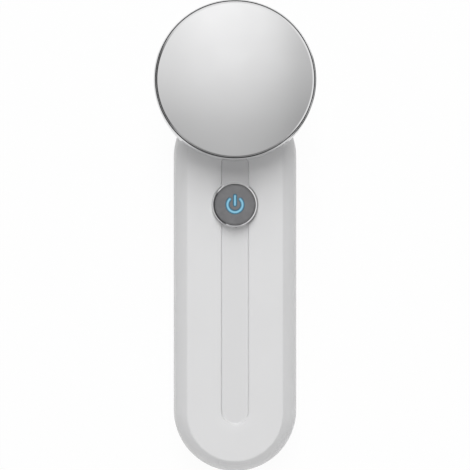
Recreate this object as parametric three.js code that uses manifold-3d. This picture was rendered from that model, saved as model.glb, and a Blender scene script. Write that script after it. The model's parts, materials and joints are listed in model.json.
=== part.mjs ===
// A hand-held facial toning device: a round mirror-polished plate carried in front of a slim handle.
// Sizes are in millimetres. The device lies on its back: +X is its width, +Y runs from the handle's
// lower end to the head, and +Z points out of the front. The origin is under the middle of the back.

import * as THREE from 'three';
import { mergeVertices } from 'three/addons/utils/BufferGeometryUtils.js';
import Module from 'manifold-3d';

const wasm = await Module();
wasm.setup();

// Clearances, and how far cutting and joining bodies run past the face they work on
const fitGap = 0.3;
const fineGap = 0.12;
const slideGap = 0.1;
const overcut = 1;
const root = 1;

// Handle
const handleWidth = 42.5;
const handleLength = 130;
const handleDepth = 25;
const frontInset = 5.1;
const backInset = 8;
const edgeRound = 0.4;
const wall = 2;
const sealWidth = 0.7;
const sealHeight = 1.6;

// Channel down the front
const channelWidth = 9.15;
const channelDepth = 1.2;
const channelEndMargin = 17.5;
const channelBevel = 0.45;
const dipWidth = 3.6;
const dipDepth = 0.2;

// Head
const headDiameter = 53.5;
const headReach = 3.05;
const bowlGap = 0.2;
const headTiltDegrees = 5;
const rimDepth = 5.5;
const rimLip = 0.4;
const rimWall = 1.55;
const plateThickness = 1.2;
const plateEdge = 0.25;
const bowlDepth = 5;
const bowlFlatRadius = 12;
const bowlWall = 1.8;
const bowlInnerInset = 1.5;
const ringThickness = 0.5;
const ringWidth = 3.4;
const filmMargin = 2.65;
const filmThickness = 0.3;
const thermistorLength = 2.4;
const thermistorWidth = 1.6;
const thermistorHeight = 1;
const carrierThickness = 2;
const carrierBore = 4;
const carrierScrewCircle = 17;
const carrierScrewLength = 4.2;
const carrierPostRoot = 0.6;
const rimNotchWidth = 1.8;
const rimNotchLength = 5;
const rimNotchDepth = 0.5;

// Neck between the head and the handle
const neckBelowHead = 16.4;
const neckHalfWidth = 13;
const neckHalfLength = 8.3;
const neckFlareWidth = 1.2;
const neckFlareLength = 0.84;
const neckTopDrop = 1.2;
const spigotRadius = 6.9;
const leadBore = 3.6;
const leadBoreRise = 6;
const clampHalfWidth = 5;
const clampBearing = 2.3;
const clampThickness = 1.6;
const neckScrewBite = 2;
const sealRingSize = 0.8;
const sealGrooveDepth = 0.5;

// Button
const buttonBelowHead = 41.2;
const bezelDiameter = 15.2;
const bezelRise = 2.3;
const bezelLip = 0.8;
const bezelWall = 0.4;
const bezelCrown = 0.6;
const bezelInnerDrop = 0.3;
const capThickness = 1.2;
const capSkirt = 0.6;
const capFlange = 0.8;
const capEdge = 0.15;
const buttonTravel = 0.5;
const signRadius = 3.1;
const signStroke = 0.95;
const signGapDegrees = 35;
const signBarWidth = 0.8;
const signBarRise = 3.65;
const signBarDrop = 0.3;
const signRoot = 0.3;
const stemRadius = 1.4;
const stemReach = 0.5;
const lightHoleRadius = 4.2;
const bootHeight = 1;
const bootFoot = 1.6;
const bootFootHeight = 0.4;
const bootSkin = 0.35;
const bootStemGap = 0.4;
const bootCollar = 1.1;

// Switch and its board
const switchSize = 6;
const switchHeight = 3;
const plungerRadius = 1.6;
const plungerRise = 1.2;
const plungerDepth = 1;
const buttonBoardWidth = 14;
const buttonBoardLength = 17;
const buttonBoardThickness = 1;
const lampWidth = 2.8;
const lampLength = 1.6;
const lampHeight = 0.8;
const lampGap = 0.6;

// Main board and charging socket
const boardThickness = 1.2;
const boardMargin = 5.25;
const boardTailWidth = 10;
const boardTaper = 4;
const boardEdge = 2.5;
const boardFixingInset = 5;
const partsInset = 22;
const chipSize = 7;
const chipHeight = 1;
const chipX = -6;
const coilRadius = 3.5;
const coilHeight = 3;
const coilX = 7;
const socketWidth = 9;
const socketHeight = 3.3;
const socketLength = 7.3;
const socketWall = 0.35;
const socketRecess = 0.8;
const slotDepth = 8;
const tongueWidth = 6.5;
const tongueThickness = 0.7;
const tongueRecess = 1;

// Battery
const batteryWidth = 22;
const batteryLength = 45;
const batteryThickness = 7.4;
const batteryCorner = 2;
const padThickness = 0.5;
const batteryHeadroom = 0.95;
const padSideInset = 2;
const padEndInset = 3;

// Leads
const leadRadius = 0.45;
const leadHoleRadius = 0.9;
const outerLeadX = 2.4;
const innerLeadX = 0.8;
const batteryLeadX = 7;
const batteryLeadRoom = 6;
const motorLeadX = 3.2;
const motorLeadInset = 3;

// Vibration motor
const motorRadius = 6;
const motorLength = 13;
const motorWall = 0.6;
const motorEndWall = 1;
const motorOffset = 1.5;
const endCapThickness = 1.2;
const endCapSpigot = 1.4;
const sleeveWall = 1;
const sleeveInset = 1;
const cradleSide = 3;
const cradleRib = 1.5;
const cradleDrop = 1;
const shaftRadius = 1;
const shaftTip = 0.5;
const armatureRadius = 4.2;
const armatureGap = 1;
const weightRadius = 5;
const weightHub = 1;
const weightLength = 4.5;
const weightGap = 1.5;

// Screws
const screwHeadRadius = 1.8;
const screwHeadHeight = 1.4;
const screwRadius = 0.9;
const screwTipGap = 1;
const seatGap = 0.5;
const lowScrewX = 8.5;
const lowScrewInset = 6;
const highScrewMargin = 1;
const highScrewRise = 6.5;
const bossRadius = 2.5;
const postRadius = 3;
const boardPostRadius = 2.2;
const buttonPostRadius = 1.7;
const buttonPostRoof = 0.6;
const boardScrewDepth = 4;
const bossRoof = 3;
const plugThickness = 2;
const screwSeatHeight = 5;
const seatThickness = 4;

// Heights and places that follow from the sizes
const halfWidth = handleWidth / 2;
const padTop = wall + slideGap + padThickness;
const batteryBottom = padTop + slideGap;
const boardBottom = batteryBottom + batteryThickness + batteryHeadroom;
const boardTop = boardBottom + boardThickness;
const partingHeight = boardTop + slideGap + socketHeight / 2;
const socketZ = partingHeight;
const headRadius = headDiameter / 2;
const headTilt = THREE.MathUtils.degToRad(headTiltDegrees);
const overallLength = handleLength + headReach + headRadius * Math.cos(headTilt);
const lowEnd = -overallLength / 2;
const lowArcY = lowEnd + halfWidth;
const highArcY = lowEnd + handleLength - halfWidth;
const headY = lowEnd + handleLength + headReach;
const headZ = handleDepth + bowlGap + bowlDepth + fitGap + rimDepth;
const neckY = headY - neckBelowHead;
const buttonY = headY - buttonBelowHead;
const channelFloor = handleDepth - channelDepth;
const cavityTop = channelFloor - wall;
const channelEndY = lowEnd + channelEndMargin;
const bezelRadius = bezelDiameter / 2;
const bezelTop = handleDepth + bezelRise;
const capRadius = bezelRadius - bezelLip - fitGap;
const boardWidth = handleWidth - 2 * boardMargin;
const boardHighY = buttonY - buttonBoardLength / 2 - fitGap;
const lowScrewY = lowArcY - lowScrewInset;
const highScrewX = buttonBoardWidth / 2 + highScrewMargin + bossRadius;
const neckScrewX = (leadBore + spigotRadius - sealGrooveDepth) / 2;
const batteryRoomLow = lowScrewY + postRadius;
const batteryRoomHigh = boardHighY - batteryLeadRoom;
const batteryY = (batteryRoomLow + batteryRoomHigh) / 2;
const batteryHighY = batteryY + batteryLength / 2;
const stemBottom = cavityTop - stemReach;
const switchTop = stemBottom - fineGap - plungerRise;
const buttonBoardTop = switchTop - switchHeight;
const buttonBoardBottom = buttonBoardTop - buttonBoardThickness;
const motorZ = wall + fitGap + sleeveWall + slideGap + motorRadius;
const motorY = highArcY + motorOffset;
const motorLowY = motorY - motorLength / 2;
const motorHighY = motorY + motorLength / 2;
const endCapLowY = motorLowY - endCapThickness;
const clampTop = cavityTop - slideGap;
const clampBottom = clampTop - clampThickness;

// Materials
function paint(color, roughness, metalness = 0) {
  return () => new THREE.MeshStandardMaterial({ color, roughness, metalness });
}
const whiteGloss = paint(0xe4e4e6, 0.25);
const mirror = paint(0xd8d9db, 0.06, 1);
const darkMirror = paint(0x5d6063, 0.1, 1);
const blueLight = paint(0x78bee1, 0.3);
const blackRubber = paint(0x1b1c1e, 0.7);
const clearRubber = paint(0xcfd6d8, 0.6);
const whitePlastic = paint(0xd9dad8, 0.5);
const blackPlastic = paint(0x222325, 0.5);
const steel = paint(0x9a9da0, 0.3, 1);
const copper = paint(0xb8763c, 0.35, 1);
const greenBoard = paint(0x1f6b45, 0.5);
const amberFilm = paint(0xb9781f, 0.4);
const greyFoil = paint(0x9fa4a8, 0.4, 0.6);
const redWire = paint(0xa8231d, 0.5);
const blackWire = paint(0x17181a, 0.5);
const blueWire = paint(0x2b4d9b, 0.5);
const yellowWire = paint(0xc6a52a, 0.5);

// A closed body through rings of points, each ring running the same way round.
function loft(rings) {
  const count = rings[0].length;
  const points = rings.flat();
  const faces = [];
  for (let level = 0; level + 1 < rings.length; level += 1) {
    for (let i = 0; i < count; i += 1) {
      const a = level * count + i;
      const b = level * count + (i + 1) % count;
      faces.push(a, b, b + count, a, b + count, a + count);
    }
  }
  const last = (rings.length - 1) * count;
  for (let i = 1; i + 1 < count; i += 1) {
    faces.push(0, i + 1, i);
    faces.push(last, last + i, last + i + 1);
  }
  const geometry = new THREE.BufferGeometry().setFromPoints(points);
  geometry.setIndex(faces);
  return geometry;
}

// An outline of two half circles joined by straight sides.
function stadium(radius, lowY, highY, z, steps = 12) {
  const outline = [];
  for (const [centreY, start] of [[highY, 0], [lowY, Math.PI]]) {
    for (let i = 0; i <= steps; i += 1) {
      const angle = start + Math.PI * i / steps;
      outline.push(new THREE.Vector3(radius * Math.cos(angle), centreY + radius * Math.sin(angle), z));
    }
  }
  return outline;
}

// A turned body about Z through points of [radius, height]. A profile off the axis is closed on itself.
function turned(profile, segments = 32) {
  const points = profile.map(([radius, height]) => new THREE.Vector2(radius, height));
  const onAxis = profile[0][0] === 0;
  if (!onAxis) {
    points.push(points[0].clone());
  }
  return new THREE.LatheGeometry(points, segments).rotateX(Math.PI / 2);
}

function disc(radius, low, high, segments = 12) {
  return turned([[0, low], [radius, low], [radius, high], [0, high]], segments);
}

function ring(inner, outer, low, high, segments = 24) {
  return turned([[inner, low], [outer, low], [outer, high], [inner, high]], segments);
}

function box(width, length, low, high) {
  return new THREE.BoxGeometry(width, length, high - low).translate(0, 0, (low + high) / 2);
}

function slab(shape, low, high, curveSegments = 12) {
  const settings = { depth: high - low, bevelEnabled: false, curveSegments };
  return new THREE.ExtrudeGeometry(shape, settings).translate(0, 0, low);
}

// Points along a quarter of an ellipse, from its side (angle 0) to its end (angle 90 degrees).
function quarter(centreRadius, centreHeight, across, along, steps) {
  return Array.from({ length: steps + 1 }, (_, i) => {
    const angle = Math.PI / 2 * i / steps;
    return [centreRadius + across * Math.cos(angle), centreHeight + along * Math.sin(angle)];
  });
}

function point(x, y, z) {
  return new THREE.Vector3(x, y, z);
}

function at(geometry, [x, y]) {
  return geometry.translate(x, y, 0);
}

// Joins and cuts
function toSolid(geometry) {
  const bare = geometry.clone();
  bare.deleteAttribute('normal');
  bare.deleteAttribute('uv');
  const merged = mergeVertices(bare, 1e-4);
  const vertProperties = new Float32Array(merged.attributes.position.array);
  const corners = Array.from(merged.index.array);
  const kept = [];
  for (let i = 0; i < corners.length; i += 3) {
    const [a, b, c] = corners.slice(i, i + 3);
    if (a !== b && b !== c && c !== a) {
      kept.push(a, b, c);
    }
  }
  return new wasm.Manifold(new wasm.Mesh({ numProp: 3, vertProperties, triVerts: new Uint32Array(kept) }));
}

function toGeometry(solid) {
  const mesh = solid.getMesh();
  const geometry = new THREE.BufferGeometry();
  geometry.setAttribute('position', new THREE.BufferAttribute(mesh.vertProperties, 3));
  geometry.setIndex(new THREE.BufferAttribute(mesh.triVerts, 1));
  return geometry;
}

function join(solid, additions) {
  return additions.reduce((whole, part) => whole.add(toSolid(part)), solid);
}

function cut(solid, tools) {
  return tools.reduce((rest, tool) => rest.subtract(toSolid(tool)), solid);
}

// Scene graph: the handle, button and motor lie in the device's frame, the head in its own tilted one
const device = new THREE.Group();
const head = new THREE.Group();
head.position.set(0, headY, headZ);
head.rotation.x = -headTilt;
device.add(head);
head.updateMatrixWorld(true);
const button = new THREE.Group();
button.position.set(0, buttonY, 0);
device.add(button);
const motor = new THREE.Group();
motor.position.set(0, 0, motorZ);
motor.rotation.x = -Math.PI / 2;
device.add(motor);

function place(parent, name, geometry, material) {
  const mesh = new THREE.Mesh(geometry, material());
  mesh.name = name;
  parent.add(mesh);
  return mesh;
}

// A geometry of the device's frame, turned into the head's frame.
function intoHead(geometry) {
  return geometry.applyMatrix4(head.matrixWorld.clone().invert());
}

function headPoint(x, y, z) {
  return point(x, y, z).applyMatrix4(head.matrixWorld);
}

// A screw along Z with its head's underside at the origin and its shank pointing up.
function screwShape(length) {
  return turned([
    [0, -screwHeadHeight], [screwHeadRadius, -screwHeadHeight], [screwHeadRadius, 0],
    [screwRadius, 0], [screwRadius, length], [0, length],
  ], 10);
}

function pilot(low, high, spot) {
  return at(disc(screwRadius + slideGap, low, high, 8), spot);
}

function clearanceHole(low, high, spot) {
  return at(disc(screwRadius + fitGap, low, high, 8), spot);
}

// Handle section: how far the outline is drawn in at a height above or below the parting
function frontDraw(rise) {
  const height = handleDepth - partingHeight;
  const radius = (height ** 2 + frontInset ** 2) / (2 * frontInset);
  return radius - Math.sqrt(radius ** 2 - rise ** 2);
}

const seamHalf = fitGap / 2;
const frontSteps = [0, 0.36, 0.64, 0.85];
const backSteps = [0, 0.28, 0.52, 0.72, 0.88, 1];

// The front shell's outline from the parting up, ending in a small round below its flat top.
function frontRings(inset, top) {
  const crease = top - edgeRound;
  const seam = partingHeight + seamHalf;
  const heights = [...frontSteps.map((share) => seam + (crease - seam) * share), crease];
  const rings = heights.map((z) => {
    return stadium(halfWidth - inset - frontDraw(z - partingHeight), lowArcY, highArcY, z);
  });
  const topRadius = halfWidth - inset - frontDraw(crease - partingHeight) - 2 * edgeRound;
  return [...rings, stadium(topRadius, lowArcY, highArcY, top)];
}

// The rear shell's outline from its flat floor up to the parting.
function backRings(inset, floor) {
  const depth = partingHeight - floor;
  const rings = backSteps.map((share) => {
    const angle = share * Math.PI / 2;
    const radius = halfWidth - inset - backInset * (1 - Math.cos(angle));
    const z = Math.min(partingHeight - depth * Math.sin(angle), partingHeight - seamHalf);
    return stadium(radius, lowArcY, highArcY, z);
  });
  return rings.reverse();
}

// A cavity runs past the parting face, so that cutting it leaves its shell open there.
function openedDownward(rings) {
  const edge = rings[0].map((corner) => corner.clone().setZ(partingHeight - overcut));
  return [edge, ...rings];
}

function openedUpward(rings) {
  const edge = rings[rings.length - 1].map((corner) => corner.clone().setZ(partingHeight + overcut));
  return [...rings, edge];
}

const sealInset = (wall - sealWidth) / 2;

// The seal between the shells, and with a gap added the groove it lies in.
function sealBody(gap) {
  const outer = halfWidth - sealInset + gap;
  const inner = halfWidth - sealInset - sealWidth - gap;
  const low = partingHeight - sealHeight / 2 - gap;
  const high = partingHeight + sealHeight / 2 + gap;
  const body = loft([stadium(outer, lowArcY, highArcY, low), stadium(outer, lowArcY, highArcY, high)]);
  const core = loft([
    stadium(inner, lowArcY, highArcY, low - overcut), stadium(inner, lowArcY, highArcY, high + overcut),
  ]);
  return toGeometry(cut(toSolid(body), [core]));
}

// A flat round-sided bar along +Y from a mouth at y = 0, as the charging plug's way in.
const socketSide = (socketWidth - socketHeight) / 2;

function socketBar(radius, low, high, steps) {
  return loft([low, high].map((z) => stadium(radius, -socketSide, socketSide, z, steps)))
    .rotateZ(Math.PI / 2).rotateX(-Math.PI / 2);
}

function socketSlot() {
  return socketBar(socketHeight / 2 + fitGap, -overcut, slotDepth).translate(0, lowEnd, socketZ);
}

// Places of the screws that hold the shells and the boards
const screwPlaces = [
  [-lowScrewX, lowScrewY], [lowScrewX, lowScrewY],
  [-highScrewX, buttonY + highScrewRise], [highScrewX, buttonY + highScrewRise],
];
const bossJoint = screwSeatHeight + seatThickness;
const bossPilotTop = cavityTop - bossRoof;
const seatRadius = screwHeadRadius + seatGap;
const boardFixingX = boardWidth / 2 - boardEdge;
const boardFixingY = boardHighY - boardFixingInset;
const boardFixings = [[-boardFixingX, boardFixingY], [boardFixingX, boardFixingY]];
const buttonFixingX = buttonBoardWidth / 2 - screwHeadRadius;
const buttonFixingY = buttonBoardLength / 2 - screwHeadRadius - fitGap;
const buttonFixings = [
  [-buttonFixingX, buttonY - buttonFixingY], [buttonFixingX, buttonY + buttonFixingY],
];
const buttonPilotTop = cavityTop - buttonPostRoof;

// The channel's cutting body: bevelled floor and mouth, with the shallow dip of the face on each side.
function channelBody() {
  const half = channelWidth / 2;
  const justAbove = 0.01;
  const levels = [
    [half - channelBevel, channelFloor],
    [half, channelFloor + channelBevel],
    [half, handleDepth - channelBevel],
    [half + channelBevel, handleDepth - dipDepth],
    [half + dipWidth, handleDepth + justAbove],
    [half + dipWidth, handleDepth + overcut],
  ];
  return loft(levels.map(([radius, z]) => stadium(radius, channelEndY + half, neckY, z, 10)));
}

function frontShell() {
  const outer = toSolid(loft(frontRings(0, handleDepth)));
  const cavity = loft(openedDownward(frontRings(wall, cavityTop)));
  const bosses = screwPlaces.map((spot) => {
    return at(disc(bossRadius, bossJoint + fitGap, cavityTop + root), spot);
  });
  const posts = buttonFixings.map((spot) => {
    return at(disc(buttonPostRadius, buttonBoardTop, cavityTop + root, 10), spot);
  });
  const built = join(cut(outer, [cavity]), [...bosses, ...posts]);
  return toGeometry(cut(built, [
    channelBody(),
    disc(bezelRadius + fitGap, channelFloor, handleDepth + overcut, 36).translate(0, buttonY, 0),
    disc(lightHoleRadius, cavityTop - overcut, handleDepth, 20).translate(0, buttonY, 0),
    disc(spigotRadius + fitGap, cavityTop - overcut, handleDepth + overcut, 24).translate(0, neckY, 0),
    sealBody(slideGap),
    socketSlot(),
    ...screwPlaces.map((spot) => pilot(bossJoint, bossPilotTop, spot)),
    ...buttonFixings.map((spot) => pilot(buttonBoardTop - overcut, buttonPilotTop, spot)),
  ]));
}

// The rear shell carries the motor's cradle, the shell screws' posts and the main board's posts.
function rearShell() {
  const outer = toSolid(loft(backRings(0, 0)));
  const cavity = loft(openedUpward(backRings(wall, wall)));
  const motorHole = disc(motorRadius + sleeveWall + slideGap + fitGap, -motorLength, motorLength, 32)
    .rotateX(-Math.PI / 2).translate(0, motorY, motorZ);
  const ribs = [-motorLength / 4, motorLength / 4].map((offset) => {
    const width = 2 * (motorRadius + sleeveWall + cradleSide);
    const rib = box(width, cradleRib, wall / 2, motorZ - cradleDrop).translate(0, motorY + offset, 0);
    return toGeometry(cut(toSolid(rib), [motorHole]));
  });
  const posts = screwPlaces.map((spot) => at(disc(postRadius, wall / 2, bossJoint, 14), spot));
  const boardPosts = boardFixings.map((spot) => {
    return at(disc(boardPostRadius, wall / 2, boardBottom - slideGap, 10), spot);
  });
  const trim = toSolid(loft(backRings(wall / 2, wall / 2)));
  const trimmed = [...ribs, ...posts, ...boardPosts].map((part) => {
    return toGeometry(toSolid(part).intersect(trim));
  });
  const built = join(cut(outer, [cavity]), trimmed);
  return toGeometry(cut(built, [
    sealBody(slideGap),
    socketSlot(),
    ...screwPlaces.map((spot) => at(disc(seatRadius, -overcut, screwSeatHeight, 14), spot)),
    ...screwPlaces.map((spot) => clearanceHole(screwSeatHeight - overcut, bossJoint + overcut, spot)),
    ...boardFixings.map((spot) => {
      return pilot(boardBottom - boardScrewDepth - screwTipGap, boardBottom + overcut, spot);
    }),
  ]));
}

place(device, 'front_shell', frontShell(), whiteGloss);
place(device, 'rear_shell', rearShell(), whiteGloss);
place(device, 'shell_seal', toGeometry(cut(toSolid(sealBody(0)), [socketSlot()])), clearRubber);

const plugRadius = seatRadius - fitGap;
screwPlaces.forEach(([x, y], i) => {
  const screw = screwShape(bossPilotTop - screwTipGap - screwSeatHeight);
  place(device, `shell_screw_${i + 1}`, screw, steel).position.set(x, y, screwSeatHeight - slideGap);
  const plug = disc(plugRadius, 0, plugThickness, 14);
  place(device, `screw_plug_${i + 1}`, plug, whitePlastic).position.set(x, y, slideGap);
});

// Head: heights and radii in its own frame, where the plate's face is at z = 0
const plateRadius = headRadius - rimLip - fitGap;
const rimInner = headRadius - rimWall;
const shoulder = plateThickness + ringThickness + 2 * fitGap;
const carrierTop = shoulder + slideGap;
const carrierBottom = carrierTop + carrierThickness;
const cupTop = carrierBottom + fitGap;
const cupEdge = rimDepth + fitGap;
const cupBottom = cupEdge + bowlDepth;
const cupSpigot = rimInner - fitGap;
const cupWall = cupSpigot - bowlWall;
const neckTop = cupEdge + neckTopDrop;
const filmTop = plateThickness + fitGap;
const thermistorTop = filmTop + filmThickness + fitGap;
const filmRadius = plateRadius - ringWidth - filmMargin;
const plateLeadPlace = [-outerLeadX, -filmRadius - filmMargin / 2];
const carrierFixings = [90, 210, 330].map(THREE.MathUtils.degToRad).map((angle) => {
  return [carrierScrewCircle * Math.cos(angle), carrierScrewCircle * Math.sin(angle)];
});
const neckFixings = [[-neckScrewX, neckY], [neckScrewX, neckY]];
const sealRingZ = (cavityTop + channelFloor) / 2;

// A small bevel in two steps from a turned piece's side up to its face at z = 0.
function faceEdge(radius) {
  const third = plateEdge * 0.3;
  return [[radius, -plateEdge], [radius - third, -third], [radius - plateEdge, 0]];
}

function contactPlate() {
  return turned([
    [0, -plateThickness], [plateRadius, -plateThickness], ...faceEdge(plateRadius), [0, 0],
  ], 48);
}

function headRim() {
  const lip = headRadius - rimLip;
  return turned([
    [rimInner, -rimDepth], [headRadius, -rimDepth], ...faceEdge(headRadius),
    [lip, 0], [lip, -shoulder], [rimInner, -shoulder],
  ], 48);
}

function plateCarrier() {
  const body = toSolid(ring(carrierBore, cupSpigot, -carrierBottom, -carrierTop, 32));
  const low = -carrierBottom - overcut;
  return toGeometry(cut(body, [
    at(disc(leadHoleRadius, low, -carrierTop + overcut, 8), plateLeadPlace),
    ...carrierFixings.map((spot) => {
      return at(disc(screwHeadRadius + fitGap, -carrierTop - screwHeadHeight, -carrierTop + overcut), spot);
    }),
    ...carrierFixings.map((spot) => clearanceHole(low, -carrierTop, spot)),
  ]));
}

// The neck swells from an ellipse on the handle's face to a larger one inside the bowl.
function neckBody() {
  const levels = 3;
  const sides = 28;
  const inverse = head.matrixWorld.clone().invert();
  const rings = Array.from({ length: levels + 1 }, (_, level) => {
    const share = level / levels;
    const swell = share ** 3;
    return Array.from({ length: sides }, (__, i) => {
      const angle = 2 * Math.PI * i / sides;
      const x = (neckHalfWidth + neckFlareWidth * swell) * Math.cos(angle);
      const y = neckY + (neckHalfLength + neckFlareLength * swell) * Math.sin(angle);
      const foot = point(x, y, handleDepth + fitGap);
      const top = headPoint(x, (y - headY) / Math.cos(headTilt), -neckTop);
      return foot.lerp(top, share).applyMatrix4(inverse);
    });
  });
  return loft(rings);
}

// The white bowl behind the plate, with its neck, the spigot through the handle's face and the key
// that lies in the channel.
function headCup() {
  const outerCurve = quarter(bowlFlatRadius, -cupEdge, headRadius - fitGap - bowlFlatRadius, -bowlDepth, 5);
  const bowl = turned([
    [0, -cupBottom], ...outerCurve.reverse(), [cupSpigot, -cupEdge], [cupSpigot, -cupTop], [0, -cupTop],
  ], 44);
  const innerFlat = bowlFlatRadius - bowlInnerInset;
  const innerCurve = quarter(innerFlat, -cupEdge, cupWall - innerFlat, bowlWall - bowlDepth, 3);
  const cavity = turned([
    [0, -cupBottom + bowlWall], ...innerCurve.reverse(), [cupWall, overcut], [0, overcut],
  ], 32);
  const hollow = cut(join(toSolid(bowl), [neckBody()]), [cavity]);
  const posts = carrierFixings.map((spot) => {
    return at(disc(bossRadius, -cupBottom + bowlWall - carrierPostRoot, -cupTop), spot);
  });
  const spigot = disc(spigotRadius, cavityTop + slideGap, handleDepth + root, 24).translate(0, neckY, 0);
  const keyWidth = channelWidth - 2 * (fitGap + channelBevel);
  const keyLength = neckHalfLength - fitGap;
  const key = box(keyWidth, keyLength, channelFloor + fitGap, handleDepth + root)
    .translate(0, neckY - keyLength / 2, 0);
  const built = join(hollow, [...posts, intoHead(spigot), intoHead(key)]);
  const bore = disc(leadBore, cavityTop - overcut, handleDepth + leadBoreRise, 16).translate(0, neckY, 0);
  const grooveHalf = sealRingSize / 2 + slideGap;
  const grooveFloor = spigotRadius - sealGrooveDepth;
  const groove = ring(grooveFloor, spigotRadius + overcut, sealRingZ - grooveHalf, sealRingZ + grooveHalf)
    .translate(0, neckY, 0);
  const rimNotch = box(rimNotchWidth, rimNotchLength, -cupEdge - rimNotchDepth, -cupTop + overcut)
    .translate(-plateLeadPlace[0], -cupSpigot, 0);
  return toGeometry(cut(built, [
    intoHead(bore),
    intoHead(groove),
    rimNotch,
    ...neckFixings.map((spot) => {
      return intoHead(pilot(cavityTop - overcut, handleDepth + neckScrewBite + screwTipGap, spot));
    }),
    ...carrierFixings.map((spot) => pilot(-carrierTop - carrierScrewLength - 2 * screwTipGap, 0, spot)),
  ]));
}

const insulatingRing = ring(plateRadius - ringWidth, plateRadius, -filmTop - ringThickness, -filmTop);
place(head, 'contact_plate', contactPlate(), mirror);
place(head, 'head_rim', headRim(), mirror);
place(head, 'insulating_ring', insulatingRing, blackRubber);
place(head, 'heater_film', disc(filmRadius, -filmTop - filmThickness, -filmTop, 40), amberFilm);
place(head, 'thermistor', box(
  thermistorLength, thermistorWidth, -thermistorTop - thermistorHeight, -thermistorTop,
), blackPlastic);
place(head, 'plate_carrier', plateCarrier(), whitePlastic);
place(head, 'head_cup', headCup(), whiteGloss);
carrierFixings.forEach(([x, y], i) => {
  const screw = screwShape(carrierScrewLength).rotateX(Math.PI);
  place(head, `carrier_screw_${i + 1}`, screw, steel)
    .position.set(x, y, -carrierTop - screwHeadHeight + slideGap);
});

// Neck fixings inside the handle
const clampReach = spigotRadius + fitGap + clampBearing - clampHalfWidth;
const clampBar = loft([clampBottom, clampTop].map((z) => {
  return stadium(clampHalfWidth, -clampReach, clampReach, z, 10);
})).rotateZ(Math.PI / 2).translate(0, neckY, 0);
place(device, 'neck_clamp', toGeometry(cut(toSolid(clampBar), [
  disc(leadBore, clampBottom - overcut, clampTop + overcut, 20).translate(0, neckY, 0),
  ...neckFixings.map((spot) => clearanceHole(clampBottom - overcut, clampTop + overcut, spot)),
])), steel);
neckFixings.forEach(([x, y], i) => {
  const screw = screwShape(handleDepth + neckScrewBite - clampBottom);
  place(device, `neck_screw_${i + 1}`, screw, steel).position.set(x, y, clampBottom - slideGap);
});
place(device, 'neck_seal', ring(
  spigotRadius - sealGrooveDepth + slideGap, spigotRadius + fitGap - slideGap / 2,
  -sealRingSize / 2, sealRingSize / 2,
), blackRubber).position.set(0, neckY, sealRingZ);

// Button: a fixed bezel round a cap that slides in with its light guide
const bezelBore = bezelRadius - bezelLip;
const capBottom = channelFloor + buttonTravel + fitGap;
const flangeTop = capBottom + capFlange;
const guideTop = bezelTop - capThickness - fineGap;
const guideBottom = channelFloor + bootHeight + 2 * fineGap;

function bezel() {
  const outerWall = bezelRadius - bezelWall;
  const crownWidth = bezelLip / 2;
  return turned([
    [outerWall, channelFloor], [bezelRadius, channelFloor],
    ...quarter(bezelRadius - crownWidth, bezelTop - bezelCrown, crownWidth, bezelCrown, 3),
    [bezelBore, bezelTop - bezelInnerDrop], [bezelBore, flangeTop + fitGap], [outerWall, flangeTop + fitGap],
  ], 36);
}

// The power sign's broken ring and its bar, grown all round by a gap.
function signOutline(gap) {
  const opening = THREE.MathUtils.degToRad(signGapDegrees) - gap / signRadius;
  const start = Math.PI / 2 + opening;
  const end = Math.PI / 2 - opening + 2 * Math.PI;
  const arc = new THREE.Shape();
  arc.absarc(0, 0, signRadius + gap, start, end, false);
  arc.absarc(0, 0, signRadius - signStroke - gap, end, start, true);
  arc.closePath();
  const bar = new THREE.Shape();
  const side = signBarWidth / 2 + gap;
  bar.moveTo(-side, -signBarDrop - gap);
  bar.lineTo(side, -signBarDrop - gap);
  bar.lineTo(side, signBarRise + gap);
  bar.lineTo(-side, signBarRise + gap);
  bar.closePath();
  return [arc, bar];
}

function signSlabs(gap, low, high) {
  return signOutline(gap).map((shape) => slab(shape, low, high, 14));
}

function buttonCap() {
  const inner = capRadius - capSkirt;
  const underside = bezelTop - capThickness;
  const flange = bezelRadius - bezelWall - fitGap;
  const cup = turned([
    [0, underside], [inner, underside], [inner, capBottom], [flange, capBottom], [flange, flangeTop],
    [capRadius, flangeTop], [capRadius, bezelTop - capEdge], [capRadius - capEdge, bezelTop], [0, bezelTop],
  ], 36);
  return toGeometry(cut(toSolid(cup), signSlabs(fineGap, underside - overcut, bezelTop + overcut)));
}

function lightGuide() {
  const plate = disc(capRadius - capSkirt - fitGap, guideBottom, guideTop, 24);
  const stem = disc(stemRadius, stemBottom, guideTop);
  return toGeometry(join(toSolid(plate), [stem, ...signSlabs(0, guideTop - signRoot, bezelTop)]));
}

// The rubber boot: a foot round the light hole, a thin cone and a collar round the stem.
function buttonBoot() {
  const foot = channelFloor + fineGap / 2;
  const collar = stemRadius + bootStemGap;
  const footTop = foot + bootFootHeight;
  const top = foot + bootHeight;
  return turned([
    [lightHoleRadius + bootFoot, foot], [lightHoleRadius + bootFoot, footTop],
    [lightHoleRadius + 2 * bootSkin, footTop], [collar + bootCollar, top], [collar, top],
    [collar, top - bootSkin], [collar + bootCollar - bootSkin / 2, top - bootSkin],
    [lightHoleRadius + bootSkin, foot],
  ], 20);
}

place(button, 'button_bezel', bezel(), mirror);
place(button, 'button_cap', buttonCap(), darkMirror);
place(button, 'light_guide', lightGuide(), blueLight);
place(button, 'button_boot', buttonBoot(), clearRubber);

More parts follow.
